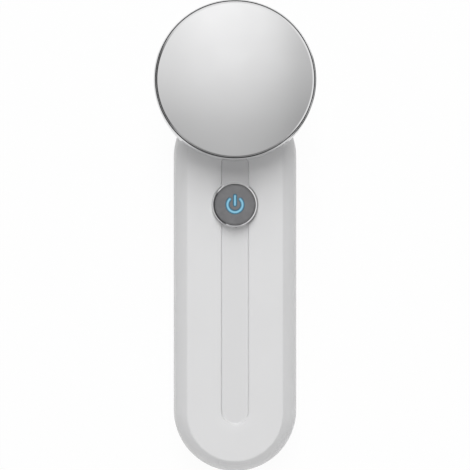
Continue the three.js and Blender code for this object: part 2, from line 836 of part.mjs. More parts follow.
// Switch board under the button
const boardPlate = box(buttonBoardWidth, buttonBoardLength, buttonBoardBottom, buttonBoardTop - slideGap);
const boardHoles = buttonFixings.map(([x, y]) => {
  return clearanceHole(buttonBoardBottom - overcut, buttonBoardTop + overcut, [x, y - buttonY]);
});
place(button, 'button_board', toGeometry(cut(toSolid(boardPlate), boardHoles)), greenBoard);
const switchBody = cut(toSolid(box(switchSize, switchSize, buttonBoardTop, switchTop)), [
  disc(plungerRadius + slideGap, switchTop - 2 * plungerDepth, switchTop + overcut, 16),
]);
const plunger = disc(plungerRadius, switchTop - plungerDepth, switchTop + plungerRise, 16);
place(button, 'tact_switch', toGeometry(switchBody), blackPlastic);
place(button, 'switch_plunger', plunger, whitePlastic);
const lampY = (switchSize + lampLength) / 2 + lampGap;
[-lampY, lampY].forEach((y, i) => {
  const lamp = box(lampWidth, lampLength, 0, lampHeight);
  place(button, `lamp_${i + 1}`, lamp, blueLight).position.set(0, y, buttonBoardTop);
});
buttonFixings.forEach(([x, y], i) => {
  const screw = screwShape(buttonPilotTop - screwTipGap - buttonBoardBottom);
  place(device, `button_board_screw_${i + 1}`, screw, steel).position.set(x, y, buttonBoardBottom - slideGap);
});

// Main board, with the socket on its tail at the handle's lower end
function mainBoard() {
  const tailLow = lowEnd + wall + 2 * socketRecess;
  const tailHigh = batteryRoomLow + socketRecess;
  const sideLow = tailHigh + boardTaper;
  const outline = new THREE.Shape([
    [-boardTailWidth / 2, tailLow], [boardTailWidth / 2, tailLow], [boardTailWidth / 2, tailHigh],
    [boardWidth / 2, sideLow], [boardWidth / 2, boardHighY], [-boardWidth / 2, boardHighY],
    [-boardWidth / 2, sideLow], [-boardTailWidth / 2, tailHigh],
  ].map(([x, y]) => new THREE.Vector2(x, y)));
  const holes = boardFixings.map((spot) => clearanceHole(boardBottom - overcut, boardTop + overcut, spot));
  return toGeometry(cut(toSolid(slab(outline, boardBottom, boardTop)), holes));
}

place(device, 'main_board', mainBoard(), greenBoard);
boardFixings.forEach(([x, y], i) => {
  const screw = screwShape(boardThickness + boardScrewDepth).rotateX(Math.PI);
  place(device, `board_screw_${i + 1}`, screw, steel).position.set(x, y, boardTop + slideGap);
});
const partsY = boardHighY - partsInset;
const chip = box(chipSize, chipSize, boardTop, boardTop + chipHeight);
const coil = disc(coilRadius, boardTop, boardTop + coilHeight, 20);
place(device, 'control_chip', chip, blackPlastic).position.set(chipX, partsY, 0);
place(device, 'step_up_coil', coil, copper).position.set(coilX, partsY, 0);

// The socket's shell is a flat tube closed at its inner end, with the tongue down its middle.
const socketMouthY = lowEnd + socketRecess;
const socketShell = cut(toSolid(socketBar(socketHeight / 2, 0, socketLength, 8)), [
  socketBar(socketHeight / 2 - socketWall, -overcut, socketLength - socketWall, 8),
]);
place(device, 'charging_socket', toGeometry(socketShell), steel).position.set(0, socketMouthY, socketZ);
const tongueLength = socketLength - socketWall - slideGap - tongueRecess;
const tongue = box(tongueWidth, tongueLength, -tongueThickness / 2, tongueThickness / 2);
place(device, 'socket_tongue', tongue, blackPlastic)
  .position.set(0, socketMouthY + tongueRecess + tongueLength / 2, socketZ);

// Battery on its pad, on the floor of the rear shell
const batteryOutline = new THREE.Shape();
const cornerX = batteryWidth / 2 - batteryCorner;
const cornerY = batteryLength / 2 - batteryCorner;
[[cornerX, cornerY], [-cornerX, cornerY], [-cornerX, -cornerY], [cornerX, -cornerY]].forEach(([x, y], i) => {
  batteryOutline.absarc(x, y, batteryCorner, i * Math.PI / 2, (i + 1) * Math.PI / 2);
});
const pad = box(batteryWidth - 2 * padSideInset, batteryLength - 2 * padEndInset, wall + slideGap, padTop);
const cell = slab(batteryOutline, batteryBottom, batteryBottom + batteryThickness, 4);
place(device, 'battery_pad', pad, blackRubber).position.set(0, batteryY, 0);
place(device, 'battery_cell', cell, greyFoil).position.set(0, batteryY, 0);

// Vibration motor in the handle's upper end, made along its own shaft
const bearing = shaftRadius + slideGap;
const canInner = motorRadius - motorWall;
const spigotTop = motorLowY + endCapSpigot;
place(motor, 'motor_can', turned([
  [canInner, motorLowY], [motorRadius, motorLowY], [motorRadius, motorHighY], [bearing, motorHighY],
  [bearing, motorHighY - motorEndWall], [canInner, motorHighY - motorEndWall],
], 24), steel);
place(motor, 'motor_end_cap', turned([
  [0, endCapLowY], [motorRadius, endCapLowY], [motorRadius, motorLowY - slideGap],
  [canInner - slideGap, motorLowY], [canInner - slideGap, spigotTop], [bearing, spigotTop],
  [bearing, motorLowY], [0, motorLowY],
], 24), blackPlastic);
const sleeveInner = motorRadius + slideGap;
place(motor, 'motor_sleeve', ring(
  sleeveInner, sleeveInner + sleeveWall, motorLowY + sleeveInset, motorHighY - sleeveInset,
), blackRubber);
const weightLow = motorHighY + weightGap;
const weightHigh = weightLow + weightLength;
place(motor, 'motor_shaft', disc(shaftRadius, motorLowY + fitGap, weightHigh + shaftTip, 16), steel);
place(motor, 'motor_armature', ring(
  bearing, armatureRadius, spigotTop + armatureGap, motorHighY - motorEndWall - armatureGap, 20,
), copper);
const weightOutline = new THREE.Shape();
const hubRadius = shaftRadius + weightHub;
weightOutline.absarc(0, 0, weightRadius, Math.PI, 0, false);
weightOutline.lineTo(hubRadius, 0);
weightOutline.absarc(0, 0, hubRadius, 0, Math.PI, false);
weightOutline.closePath();
const weight = cut(toSolid(slab(weightOutline, weightLow, weightHigh, 8)), [
  disc(bearing, weightLow - overcut, weightHigh + overcut, 16),
]);
place(motor, 'eccentric_weight', toGeometry(weight), steel);

// Leads, each a round wire along a smooth route
function lead(name, route, material, steps) {
  const curve = new THREE.CatmullRomCurve3(route, false, 'centripetal');
  const section = new THREE.Shape();
  section.absarc(0, 0, leadRadius, 0, 2 * Math.PI);
  const settings = { steps, bevelEnabled: false, extrudePath: curve, curveSegments: 4 };
  place(device, name, new THREE.ExtrudeGeometry(section, settings), material);
}

const batteryTabZ = batteryBottom + batteryThickness / 2;
const leadEndZ = boardBottom - fitGap;
[[-1, redWire], [1, blackWire]].forEach(([side, material], i) => {
  lead(`battery_lead_${i + 1}`, [
    point(side * batteryLeadX, batteryHighY + fitGap, batteryTabZ),
    point(side * batteryLeadX, batteryHighY + 5 * leadRadius, batteryTabZ + leadRadius),
    point(side * batteryLeadX, boardHighY - motorLeadInset - 2 * leadRadius, leadEndZ - 3 * leadRadius),
    point(side * batteryLeadX, boardHighY - motorLeadInset, leadEndZ),
  ], material, 12);
  lead(`motor_lead_${i + 1}`, [
    point(side * motorLeadX, endCapLowY - fitGap, motorZ),
    point(side * motorLeadX, endCapLowY - 9 * leadRadius, motorZ - leadRadius),
    point(side * motorLeadX, boardHighY - 2 * leadRadius, leadEndZ - 4 * leadRadius),
    point(side * motorLeadX, boardHighY - motorLeadInset, leadEndZ),
  ], material, 12);
});

// The head's leads run from the main board along the handle's side walls, outside the screw bosses,
// and between the neck screws into the neck. Two run on each side, the inner one in lane 0.
function headLead(name, side, lane, ending, material) {
  const laneShift = 3 * leadRadius * lane;
  const wallX = side * (highScrewX + bossRadius + 2 * leadRadius + laneShift);
  const startX = side * (boardFixingX - 2 * leadRadius + laneShift);
  const shoulderX = side * (motorRadius + sleeveWall + 3 * leadRadius + laneShift);
  const turnX = side * (neckScrewX / 2 + laneShift);
  const boreX = 0.9 * side * (lane === 0 ? innerLeadX : outerLeadX);
  const startY = boardHighY - 3.5 * leadRadius;
  const onBoard = boardTop + fitGap + 6 * leadRadius;
  lead(name, [
    point(startX, startY, boardTop + fitGap),
    point(startX, startY + 1.5 * leadRadius, boardTop + fitGap + 3 * leadRadius),
    point(wallX, buttonY, onBoard),
    point(wallX, buttonY + highScrewRise + bossRadius, onBoard),
    point(shoulderX, motorY + laneShift, onBoard + 2 * leadRadius),
    point(turnX, neckY - leadBore + fitGap + laneShift / 2, clampBottom - (2 + lane) * leadRadius),
    point(boreX, neckY - leadRadius, clampBottom),
    point(boreX, neckY, handleDepth + root),
    point(boreX, neckY - leadRadius, handleDepth + leadBoreRise - 3 * leadRadius),
    ...ending,
  ], material, 32);
}

const rimLeadZ = -carrierBottom - fitGap - leadRadius;
const rimLeadY = -Math.sqrt((rimInner - fitGap) ** 2 - (outerLeadX + leadRadius) ** 2);
const filmLeadX = -carrierBore + 3 * leadRadius;
headLead('plate_lead', -1, 1, [
  headPoint(plateLeadPlace[0], plateLeadPlace[1] + 3 * leadRadius, 2 * leadRadius - neckTop),
  headPoint(...plateLeadPlace, -carrierBottom),
  headPoint(...plateLeadPlace, -filmTop),
], redWire);
headLead('rim_lead', 1, 1, [
  headPoint(outerLeadX, -cupWall + 2 * bowlWall, 2 * leadRadius - neckTop),
  headPoint(outerLeadX, -cupWall + 2 * leadRadius, rimLeadZ),
  headPoint(outerLeadX, rimLeadY, rimLeadZ),
], blackWire);
headLead('heater_lead', -1, 0, [
  headPoint(filmLeadX / 2, -neckBelowHead + 2 * bowlWall + 4 * leadRadius, -neckTop - leadRadius),
  headPoint(filmLeadX - leadRadius, -carrierBore - leadRadius, -neckTop),
  headPoint(filmLeadX, -3 * leadRadius, -carrierBottom),
  headPoint(filmLeadX, -leadRadius, -filmTop - filmThickness - fitGap),
], blueWire);
headLead('thermistor_lead', 1, 0, [
  headPoint(2 * leadRadius, -neckBelowHead + 2 * bowlWall + 4 * leadRadius, -neckTop - leadRadius),
  headPoint(leadRadius, -carrierBore, -neckTop),
  headPoint(leadRadius, -leadRadius, -carrierBottom - leadRadius),
  headPoint(leadRadius, 0, -thermistorTop - thermistorHeight - fitGap),
], yellowWire);

export default device;
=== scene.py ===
# Facial toning device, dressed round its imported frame. Sizes are in millimetres until a mesh is made.
import bpy
import bmesh
import json
import math
import numpy as np
from mathutils import Matrix, Vector

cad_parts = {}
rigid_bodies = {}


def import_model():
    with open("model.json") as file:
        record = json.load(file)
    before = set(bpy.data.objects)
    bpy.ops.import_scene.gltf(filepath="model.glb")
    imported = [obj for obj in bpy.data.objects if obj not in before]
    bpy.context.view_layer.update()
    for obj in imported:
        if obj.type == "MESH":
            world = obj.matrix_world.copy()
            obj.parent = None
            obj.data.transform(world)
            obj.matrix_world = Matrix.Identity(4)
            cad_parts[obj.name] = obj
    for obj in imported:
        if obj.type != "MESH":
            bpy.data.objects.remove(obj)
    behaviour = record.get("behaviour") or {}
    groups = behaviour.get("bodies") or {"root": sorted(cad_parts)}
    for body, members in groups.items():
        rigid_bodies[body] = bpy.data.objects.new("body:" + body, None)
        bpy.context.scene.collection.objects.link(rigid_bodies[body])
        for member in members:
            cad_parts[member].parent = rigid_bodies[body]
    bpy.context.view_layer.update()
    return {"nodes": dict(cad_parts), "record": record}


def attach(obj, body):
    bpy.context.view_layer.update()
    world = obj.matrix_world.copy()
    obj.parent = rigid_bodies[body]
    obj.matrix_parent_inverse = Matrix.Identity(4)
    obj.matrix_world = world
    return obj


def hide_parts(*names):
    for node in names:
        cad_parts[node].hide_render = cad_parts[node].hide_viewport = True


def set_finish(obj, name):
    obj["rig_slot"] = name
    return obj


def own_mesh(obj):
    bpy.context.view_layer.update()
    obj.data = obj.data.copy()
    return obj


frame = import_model()
print("frame loaded:", len(frame["nodes"]), "nodes")

metre = 0.001
gap = {"fit": 0.3, "slide": 0.1, "over": 1.0}


def gridObject(grid, wrapRows=False):
    # Quads join point (i, j) to (i, j+1), (i+1, j+1) and (i+1, j); columns always wrap, and ends are capped.
    rows, columns = grid.shape[:2]
    i = np.arange(rows if wrapRows else rows - 1)[:, None]
    j = np.arange(columns)[None, :]
    after, up = (j + 1) % columns, (i + 1) % rows
    quads = np.stack([i * columns + j, i * columns + after, up * columns + after, up * columns + j], -1)
    quads = quads.reshape(-1, 4)
    corners = quads.ravel()
    starts = np.arange(len(quads)) * 4
    if not wrapRows:
        first = np.arange(columns)[::-1]
        last = (rows - 1) * columns + np.arange(columns)
        starts = np.concatenate([starts, [len(corners), len(corners) + columns]])
        corners = np.concatenate([corners, first, last])
    mesh = bpy.data.meshes.new("tool")
    mesh.vertices.add(rows * columns)
    mesh.vertices.foreach_set("co", (grid * metre).astype(np.float32).ravel())
    mesh.loops.add(len(corners))
    mesh.loops.foreach_set("vertex_index", corners.astype(np.int32))
    mesh.polygons.add(len(starts))
    mesh.polygons.foreach_set("loop_start", starts.astype(np.int32))
    mesh.update(calc_edges=True)
    work = bmesh.new()
    work.from_mesh(mesh)
    bmesh.ops.remove_doubles(work, verts=work.verts, dist=1e-7)
    if work.calc_volume(signed=True) < 0:
        bmesh.ops.reverse_faces(work, faces=work.faces)
    work.to_mesh(mesh)
    work.free()
    piece = bpy.data.objects.new("tool", mesh)
    bpy.context.scene.collection.objects.link(piece)
    return piece


def combine(body, tools, operation):
    # Each tool is joined to the body or cut from it, and the result becomes the body's own mesh.
    for tool in tools:
        step = body.modifiers.new(operation.lower(), "BOOLEAN")
        step.operation = operation
        step.solver = "EXACT"
        step.object = tool
    graph = bpy.context.evaluated_depsgraph_get()
    result = bpy.data.meshes.new_from_object(body.evaluated_get(graph))
    body.modifiers.clear()
    old = body.data
    body.data = result
    bpy.data.meshes.remove(old)
    for tool in tools:
        bpy.data.objects.remove(tool)


def finishPiece(piece, name, body, slot, nodes, sharpDegrees=32):
    # Smooth faces with sharp edges where two faces meet at more than the given angle.
    mesh = piece.data
    mesh.name = piece.name = name
    mesh.polygons.foreach_set("use_smooth", np.ones(len(mesh.polygons), bool))
    mesh.set_sharp_from_angle(angle=math.radians(sharpDegrees))
    mesh.update()
    weighted = piece.modifiers.new("weighted", "WEIGHTED_NORMAL")  # large flat faces keep their own normal
    weighted.keep_sharp = True
    weighted.weight = 80
    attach(piece, body)
    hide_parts(*nodes)
    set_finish(piece, slot)
    return piece


def stadiumGrid(radius, lowY, highY, z, steps=48):
    # Rings of two half circles joined by straight sides: x = r cos a, y = centre + r sin a.
    values = (np.atleast_1d(value).astype(float) for value in (radius, lowY, highY, z))
    radius, lowY, highY, z = np.broadcast_arrays(*values)
    turn = np.linspace(0, np.pi, steps + 1)
    angle = np.concatenate([turn, turn + np.pi])[None, :]
    upper = np.repeat([True, False], steps + 1)[None, :]
    centre = np.where(upper, highY[:, None], lowY[:, None])
    x = radius[:, None] * np.cos(angle)
    y = centre + radius[:, None] * np.sin(angle)
    return np.stack([x, y, np.broadcast_to(z[:, None], x.shape)], -1)


def turnedGrid(profile, segments):
    # A profile of (radius, height) carried round Z: x = r cos a, y = r sin a.
    profile = np.asarray(profile, float)
    angle = np.linspace(0, 2 * np.pi, segments, endpoint=False)[None, :]
    radius = profile[:, :1]
    height = np.broadcast_to(profile[:, 1:], (len(profile), segments))
    return np.stack([radius * np.cos(angle), radius * np.sin(angle), height], -1)


def moved(grid, x, y):
    return grid + (x, y, 0)


def discAt(radius, low, high, x, y, segments):
    return gridObject(moved(turnedGrid([(radius, low), (radius, high)], segments), x, y))


def boxAt(width, length, low, high, x, y):
    # A closed box from its four corners, carried from the low height to the high one.
    corners = np.array([(-1, -1), (1, -1), (1, 1), (-1, 1)]) * (width / 2, length / 2) + (x, y)
    rings = [np.column_stack([corners, np.full(4, z)]) for z in (low, high)]
    return gridObject(np.array(rings))


def quarterCurve(centreRadius, centreHeight, across, along, steps, fromDegrees=0, toDegrees=90):
    # Points on an ellipse: radius = centre + across cos a, height = centre + along sin a.
    angle = np.radians(np.linspace(fromDegrees, toDegrees, steps + 1))
    return np.column_stack([centreRadius + across * np.cos(angle), centreHeight + along * np.sin(angle)])


def arcPoints(centre, radius, angle):
    # Points on a circle: centre + radius (cos a, sin a).
    return np.asarray(centre) + radius * np.column_stack([np.cos(angle), np.sin(angle)])


# Handle
handle = {
    "halfWidth": 21.25, "lowArcY": -58.6004, "highArcY": 28.8996, "lowEnd": -79.8504,
    "parting": 14.0, "depth": 25.0, "frontInset": 5.1, "backInset": 8.0, "wall": 2.0,
    "creaseHeight": 0.4, "neckY": 36.8009, "neckHole": 7.2, "cavityTop": 21.8,
}
channel = {
    "half": 4.575, "floor": 23.8, "bevel": 0.45, "lowY": -57.7754, "highY": 33.0,
    "dipHalf": 8.175, "dipDepth": 0.2,
}
buttonPlace = {"y": 12.0009, "well": 7.9, "lightHole": 4.2}
socketSlot = {"side": 2.85, "radius": 1.95, "depth": 8.0, "z": 14.0}
sealSlot = {"outerInset": 0.65, "innerInset": 1.35, "halfHeight": 0.8}
frontPost = {"radius": 2.5, "low": 9.3, "high": 22.8, "bore": 1.0, "boreLow": 9.0, "boreTop": 18.8}
rearPost = {"radius": 3.0, "low": 1.0, "high": 9.0, "plugBore": 2.3, "plugTop": 5.0,
            "bore": 1.2, "boreLow": 4.0, "boreTop": 10.0}
screwSpots = [(-8.5, -64.6004), (8.5, -64.6004), (-10.5, 18.5009), (10.5, 18.5009)]


def frontDraw(rise):
    # How far the outline is drawn in above the parting: a circular arc that reaches the inset at the face.
    height = handle["depth"] - handle["parting"]
    radius = (height ** 2 + handle["frontInset"] ** 2) / (2 * handle["frontInset"])
    return radius - np.sqrt(radius ** 2 - rise ** 2)


def frontSide(inset, top):
    # Side arc from the seam up, then a soft crease that turns into the flat top: (radius, z) pairs.
    crease = top - handle["creaseHeight"]
    z = np.linspace(handle["parting"] + gap["fit"] / 2, crease, 20)
    radius = handle["halfWidth"] - inset - frontDraw(z - handle["parting"])
    start = radius[-1]
    slope = (radius[-2] - radius[-1]) / (z[-1] - z[-2])
    knee = start - slope * handle["creaseHeight"]
    end = start - 2 * handle["creaseHeight"]
    t = np.linspace(0, 1, 9)[1:]
    creaseRadius = (1 - t) ** 2 * start + 2 * t * (1 - t) * knee + t ** 2 * end
    creaseZ = (1 - t) ** 2 * crease + 2 * t * (1 - t) * top + t ** 2 * top
    return np.concatenate([radius, creaseRadius]), np.concatenate([z, creaseZ])


def sealTool():
    # The seal's ring, grown by its gap: a rectangle carried round the handle's outline.
    outer = handle["halfWidth"] - sealSlot["outerInset"] + gap["slide"]
    inner = handle["halfWidth"] - sealSlot["innerInset"] - gap["slide"]
    reach = sealSlot["halfHeight"] + gap["slide"]
    low, high = handle["parting"] - reach, handle["parting"] + reach
    corners = [outer, outer, inner, inner]
    grid = stadiumGrid(corners, handle["lowArcY"], handle["highArcY"], [low, high, high, low])
    return gridObject(grid, wrapRows=True)


def socketTool():
    # The charging plug's way in: a flat round-sided bar along Y.
    bar = stadiumGrid(socketSlot["radius"], -socketSlot["side"], socketSlot["side"], [0, 1], 16)
    along = np.array([-gap["over"], socketSlot["depth"]])[:, None]
    y = np.broadcast_to(handle["lowEnd"] + along, bar.shape[:2])
    return gridObject(np.stack([bar[..., 1], y, socketSlot["z"] + bar[..., 0]], -1))


def frontShell():
    # The outer grid runs from the seam over the face and its shallow dip, and into the channel to its middle.
    radius, z = frontSide(0, handle["depth"])
    lowY = np.full(len(radius), handle["lowArcY"])
    highY = np.full(len(radius), handle["highArcY"])
    share = np.array([0.02, 0.12, 0.35, 0.6, 0.85, 0.97, 1.0])  # across the flat, towards the channel
    flatRadius = radius[-1] + (channel["dipHalf"] - radius[-1]) * share
    flatLow = handle["lowArcY"] + (channel["lowY"] - handle["lowArcY"]) * share
    flatHigh = handle["highArcY"] + (channel["highY"] - handle["highArcY"]) * share
    mouth = channel["half"] + channel["bevel"]
    t = np.linspace(0, 1, 13)[1:]
    dipRadius = channel["dipHalf"] + (mouth - channel["dipHalf"]) * t
    dipZ = handle["depth"] - channel["dipDepth"] * (1 - np.cos(t * np.pi / 2))
    lipZ = handle["depth"] - channel["dipDepth"] - channel["bevel"]
    lip = quarterCurve(mouth, lipZ, channel["bevel"], channel["bevel"], 6, 90, 180)[1:]
    flatHalf = channel["half"] - channel["bevel"]
    cove = quarterCurve(flatHalf, channel["floor"] + channel["bevel"], channel["bevel"], -channel["bevel"], 6)
    floor = np.column_stack([flatHalf * np.array([0.96, 0.5, 0]), np.full(3, channel["floor"])])
    inner = np.concatenate([np.column_stack([dipRadius, dipZ]), lip, cove, floor])
    radius = np.concatenate([radius, flatRadius, inner[:, 0]])
    z = np.concatenate([z, np.full(len(share), handle["depth"]), inner[:, 1]])
    lowY = np.concatenate([lowY, flatLow, np.full(len(inner), channel["lowY"])])
    highY = np.concatenate([highY, flatHigh, np.full(len(inner), channel["highY"])])
    shell = gridObject(stadiumGrid(radius, lowY, highY, z))
    cavityRadius, cavityZ = frontSide(handle["wall"], handle["cavityTop"])
    cavityRadius = np.concatenate([cavityRadius[:1], cavityRadius])
    cavityZ = np.concatenate([[handle["parting"] - gap["over"]], cavityZ])
    cavity = gridObject(stadiumGrid(cavityRadius, handle["lowArcY"], handle["highArcY"], cavityZ, 32))
    combine(shell, [cavity], "DIFFERENCE")
    post = frontPost
    posts = [discAt(post["radius"], post["low"], post["high"], x, y, 32) for x, y in screwSpots]
    combine(shell, posts, "UNION")
    above, below = handle["depth"] + gap["over"], handle["cavityTop"] - gap["over"]
    cuts = [
        discAt(buttonPlace["well"], channel["floor"], above, 0, buttonPlace["y"], 128),
        discAt(buttonPlace["lightHole"], below, handle["depth"], 0, buttonPlace["y"], 64),
        discAt(handle["neckHole"], below, above, 0, handle["neckY"], 96),
        sealTool(),
        socketTool(),
    ]
    cuts += [discAt(post["bore"], post["boreLow"], post["boreTop"], x, y, 20) for x, y in screwSpots]
    combine(shell, cuts, "DIFFERENCE")
    return finishPiece(shell, "front_shell_skin", "body", "white_gloss", ["front_shell"])


def backSide(inset, floor):
    # Radius drawn in by a quarter ellipse down to a flat floor: (radius, z) pairs from the floor up.
    angle = np.linspace(np.pi / 2, 0, 26)
    depth = handle["parting"] - floor
    radius = handle["halfWidth"] - inset - handle["backInset"] * (1 - np.cos(angle))
    z = np.minimum(handle["parting"] - depth * np.sin(angle), handle["parting"] - gap["fit"] / 2)
    return radius, z


def rearShell():
    # The back's rings from the middle outwards and up to the seam, hollowed, with posts and bores for screws.
    radius, z = backSide(0, 0)
    inwards = np.array([0, 0.5, 0.97]) * radius[0]  # rings across the flat back
    radius = np.concatenate([inwards, radius])
    z = np.concatenate([np.zeros(len(inwards)), z])
    shell = gridObject(stadiumGrid(radius, handle["lowArcY"], handle["highArcY"], z))
    cavityRadius, cavityZ = backSide(handle["wall"], handle["wall"])
    cavityRadius = np.concatenate([cavityRadius, cavityRadius[-1:]])
    cavityZ = np.concatenate([cavityZ, [handle["parting"] + gap["over"]]])
    cavity = gridObject(stadiumGrid(cavityRadius, handle["lowArcY"], handle["highArcY"], cavityZ, 32))
    combine(shell, [cavity], "DIFFERENCE")
    post = rearPost
    posts = [discAt(post["radius"], post["low"], post["high"], x, y, 32) for x, y in screwSpots[:2]]
    combine(shell, posts, "UNION")
    cuts = [sealTool(), socketTool()]
    cuts += [discAt(post["plugBore"], -gap["over"], post["plugTop"], x, y, 48) for x, y in screwSpots]
    cuts += [discAt(post["bore"], post["boreLow"], post["boreTop"], x, y, 24) for x, y in screwSpots]
    combine(shell, cuts, "DIFFERENCE")
    return finishPiece(shell, "rear_shell_skin", "body", "white_gloss", ["rear_shell"])


def screwPlugs():
    # Small discs with a rounded outer edge and a shallow dished face.
    plug = {"radius": 2.0, "low": 0.1, "high": 2.1, "round": 0.2, "dish": 0.1, "dishRadius": 1.2}
    low, high, soft = plug["low"], plug["high"], plug["round"]
    edge = quarterCurve(plug["radius"] - soft, low + soft, soft, -soft, 4)
    dish = [(0, low + plug["dish"]), (plug["dishRadius"], low + plug["dish"] / 2)]
    profile = np.concatenate([dish, edge[::-1], [(plug["radius"], high), (0, high)]])
    for number, (x, y) in enumerate(screwSpots, 1):
        piece = gridObject(moved(turnedGrid(profile, 48), x, y))
        finishPiece(piece, f"screw_plug_{number}_skin", "body", "white_plastic", [f"screw_plug_{number}"])


# Head
headPlace = {"y": 53.2009, "z": 36.0, "tiltDegrees": 5.0}
plate = {"radius": 26.05, "thickness": 1.2, "lip": 0.5, "lipRise": 0.32, "lipTop": -0.06, "lipWidth": 0.04,
         "lipEdge": -0.09, "crown": 0.1}
rim = {"outer": 26.75, "lip": 26.35, "inner": 25.2, "depth": 5.5, "shoulder": 2.3, "bevel": 0.12,
       "crest": 26.43, "crestDrop": 0.01, "lipDrop": 0.05, "outerDrop": 0.28}
ring = {"inner": 22.65, "low": -2.0, "top": -1.5,
        "collarInner": 26.08, "collarOuter": 26.32, "collarTop": -0.5}
bowl = {"edge": 5.8, "radius": 26.45, "flat": 12.0, "depth": 5.0, "spigot": 24.9, "top": 4.7, "wall": 1.8,
        "innerInset": 1.5}
neck = {"halfWidth": 13.0, "halfLength": 8.3, "flareWidth": 1.2, "flareLength": 0.84,
        "top": 7.0, "foot": 25.3, "spigot": 6.9, "spigotLow": 21.9, "spigotTop": 26.0,
        "fillWidth": 7.65, "fillLength": 8.0, "fillLow": 24.1,
        "grooveRadius": 6.4, "grooveOuter": 8.0, "grooveLow": 22.3, "grooveTop": 23.3,
        "leadBore": 3.6, "leadTop": 31.0, "screwX": 5.0, "screwBore": 1.0, "screwTop": 28.0}


def intoDevice(grid):
    # From the head's own frame into the device's: turned about X, then moved.
    tilt = math.radians(headPlace["tiltDegrees"])
    turn = np.array([[1, 0, 0], [0, math.cos(tilt), math.sin(tilt)], [0, -math.sin(tilt), math.cos(tilt)]])
    return grid @ turn.T + np.array([0, headPlace["y"], headPlace["z"]])


def headPiece(profile, segments=240, wrapRows=False):
    return gridObject(intoDevice(turnedGrid(profile, segments)), wrapRows)


def contactPlate():
    # Nearly flat, falling off with the square of the radius, inside a fine lip that slopes up to the edge.
    flat = plate["radius"] - plate["lip"]
    foot = plate["lipTop"] - plate["lipRise"]
    radius = np.linspace(0, flat, 14)
    face = np.column_stack([radius, foot + plate["crown"] * (1 - (radius / flat) ** 2)])
    profile = np.concatenate([face, [
        (plate["radius"] - plate["lipWidth"], plate["lipTop"]), (plate["radius"], plate["lipEdge"]),
        (plate["radius"], -plate["thickness"]), (0, -plate["thickness"]),
    ]])
    finishPiece(headPiece(profile), "contact_plate_skin", "body", "mirror_plate", ["contact_plate"], 20)


def headRim():
    # A fine crest beside the gap, and one polished slope that faces outwards.
    low, bevel = -rim["depth"], rim["bevel"]
    profile = [
        (rim["inner"], low), (rim["outer"] - bevel, low), (rim["outer"], low + bevel),
        (rim["outer"], -rim["outerDrop"]), (rim["crest"], -rim["crestDrop"]), (rim["lip"], -rim["lipDrop"]),
        (rim["lip"], -rim["shoulder"]), (rim["inner"], -rim["shoulder"]),
    ]
    piece = headPiece(profile, wrapRows=True)
    finishPiece(piece, "head_rim_skin", "body", "chrome_trim", ["head_rim"], 20)


def insulatingRing():
    # The ring under the plate's edge, with a thin collar that fills the gap between plate and rim.
    profile = [
        (ring["inner"], ring["low"]), (ring["collarOuter"], ring["low"]),
        (ring["collarOuter"], ring["collarTop"]), (ring["collarInner"], ring["collarTop"]),
        (ring["collarInner"], ring["top"]), (ring["inner"], ring["top"]),
    ]
    piece = headPiece(profile, wrapRows=True)
    finishPiece(piece, "insulating_ring_skin", "body", "black_rubber", ["insulating_ring"])


def neckLoft():
    # Ellipses x = a cos t, y = b sin t, which swell with the cube of the share and run from the handle's face
    # to the inside of the bowl: (1 - share) foot + share top.
    share = np.linspace(0, 1, 24)[:, None]
    angle = np.linspace(0, 2 * np.pi, 96, endpoint=False)[None, :]
    swell = share ** 3
    x = (neck["halfWidth"] + neck["flareWidth"] * swell) * np.cos(angle)
    y = handle["neckY"] + (neck["halfLength"] + neck["flareLength"] * swell) * np.sin(angle)
    foot = np.stack([x, y, np.full(x.shape, neck["foot"])], -1)
    localY = (y - headPlace["y"]) / math.cos(math.radians(headPlace["tiltDegrees"]))
    top = intoDevice(np.stack([x, localY, np.full(x.shape, -neck["top"])], -1))
    return gridObject(foot * (1 - share[..., None]) + top * share[..., None])


def headCup():
    # The bowl and its neck in one piece, hollowed, with the spigot that seats in the handle and its bores.
    low, across = -bowl["edge"], bowl["radius"] - bowl["flat"]
    outer = quarterCurve(bowl["flat"], low, across, -bowl["depth"], 28)
    profile = np.concatenate([[(0, low - bowl["depth"])], outer[::-1],
                              [(bowl["spigot"], low), (bowl["spigot"], -bowl["top"]), (0, -bowl["top"])]])
    cup = headPiece(profile)
    combine(cup, [neckLoft()], "UNION")
    innerFlat = bowl["flat"] - bowl["innerInset"]
    innerWall = bowl["spigot"] - bowl["wall"]
    inner = quarterCurve(innerFlat, low, innerWall - innerFlat, bowl["wall"] - bowl["depth"], 16)
    cavity = np.concatenate([[(0, low - bowl["depth"] + bowl["wall"])], inner[::-1],
                             [(innerWall, gap["over"]), (0, gap["over"])]])
    combine(cup, [headPiece(cavity, 96)], "DIFFERENCE")
    y, below = handle["neckY"], handle["cavityTop"] - gap["over"]
    combine(cup, [
        discAt(neck["spigot"], neck["spigotLow"], neck["spigotTop"], 0, y, 96),
        boxAt(neck["fillWidth"], neck["fillLength"], neck["fillLow"], neck["spigotTop"],
              0, y - neck["fillLength"] / 2),
    ], "UNION")
    groove = [(neck["grooveRadius"], neck["grooveLow"]), (neck["grooveOuter"], neck["grooveLow"]),
              (neck["grooveOuter"], neck["grooveTop"]), (neck["grooveRadius"], neck["grooveTop"])]
    cuts = [discAt(neck["leadBore"], below, neck["leadTop"], 0, y, 48),
            gridObject(moved(turnedGrid(groove, 64), 0, y), wrapRows=True)]
    for x in (-neck["screwX"], neck["screwX"]):
        cuts.append(discAt(neck["screwBore"], below, neck["screwTop"], x, y, 20))
    combine(cup, cuts, "DIFFERENCE")
    return finishPiece(cup, "head_cup_skin", "body", "white_gloss", ["head_cup"])


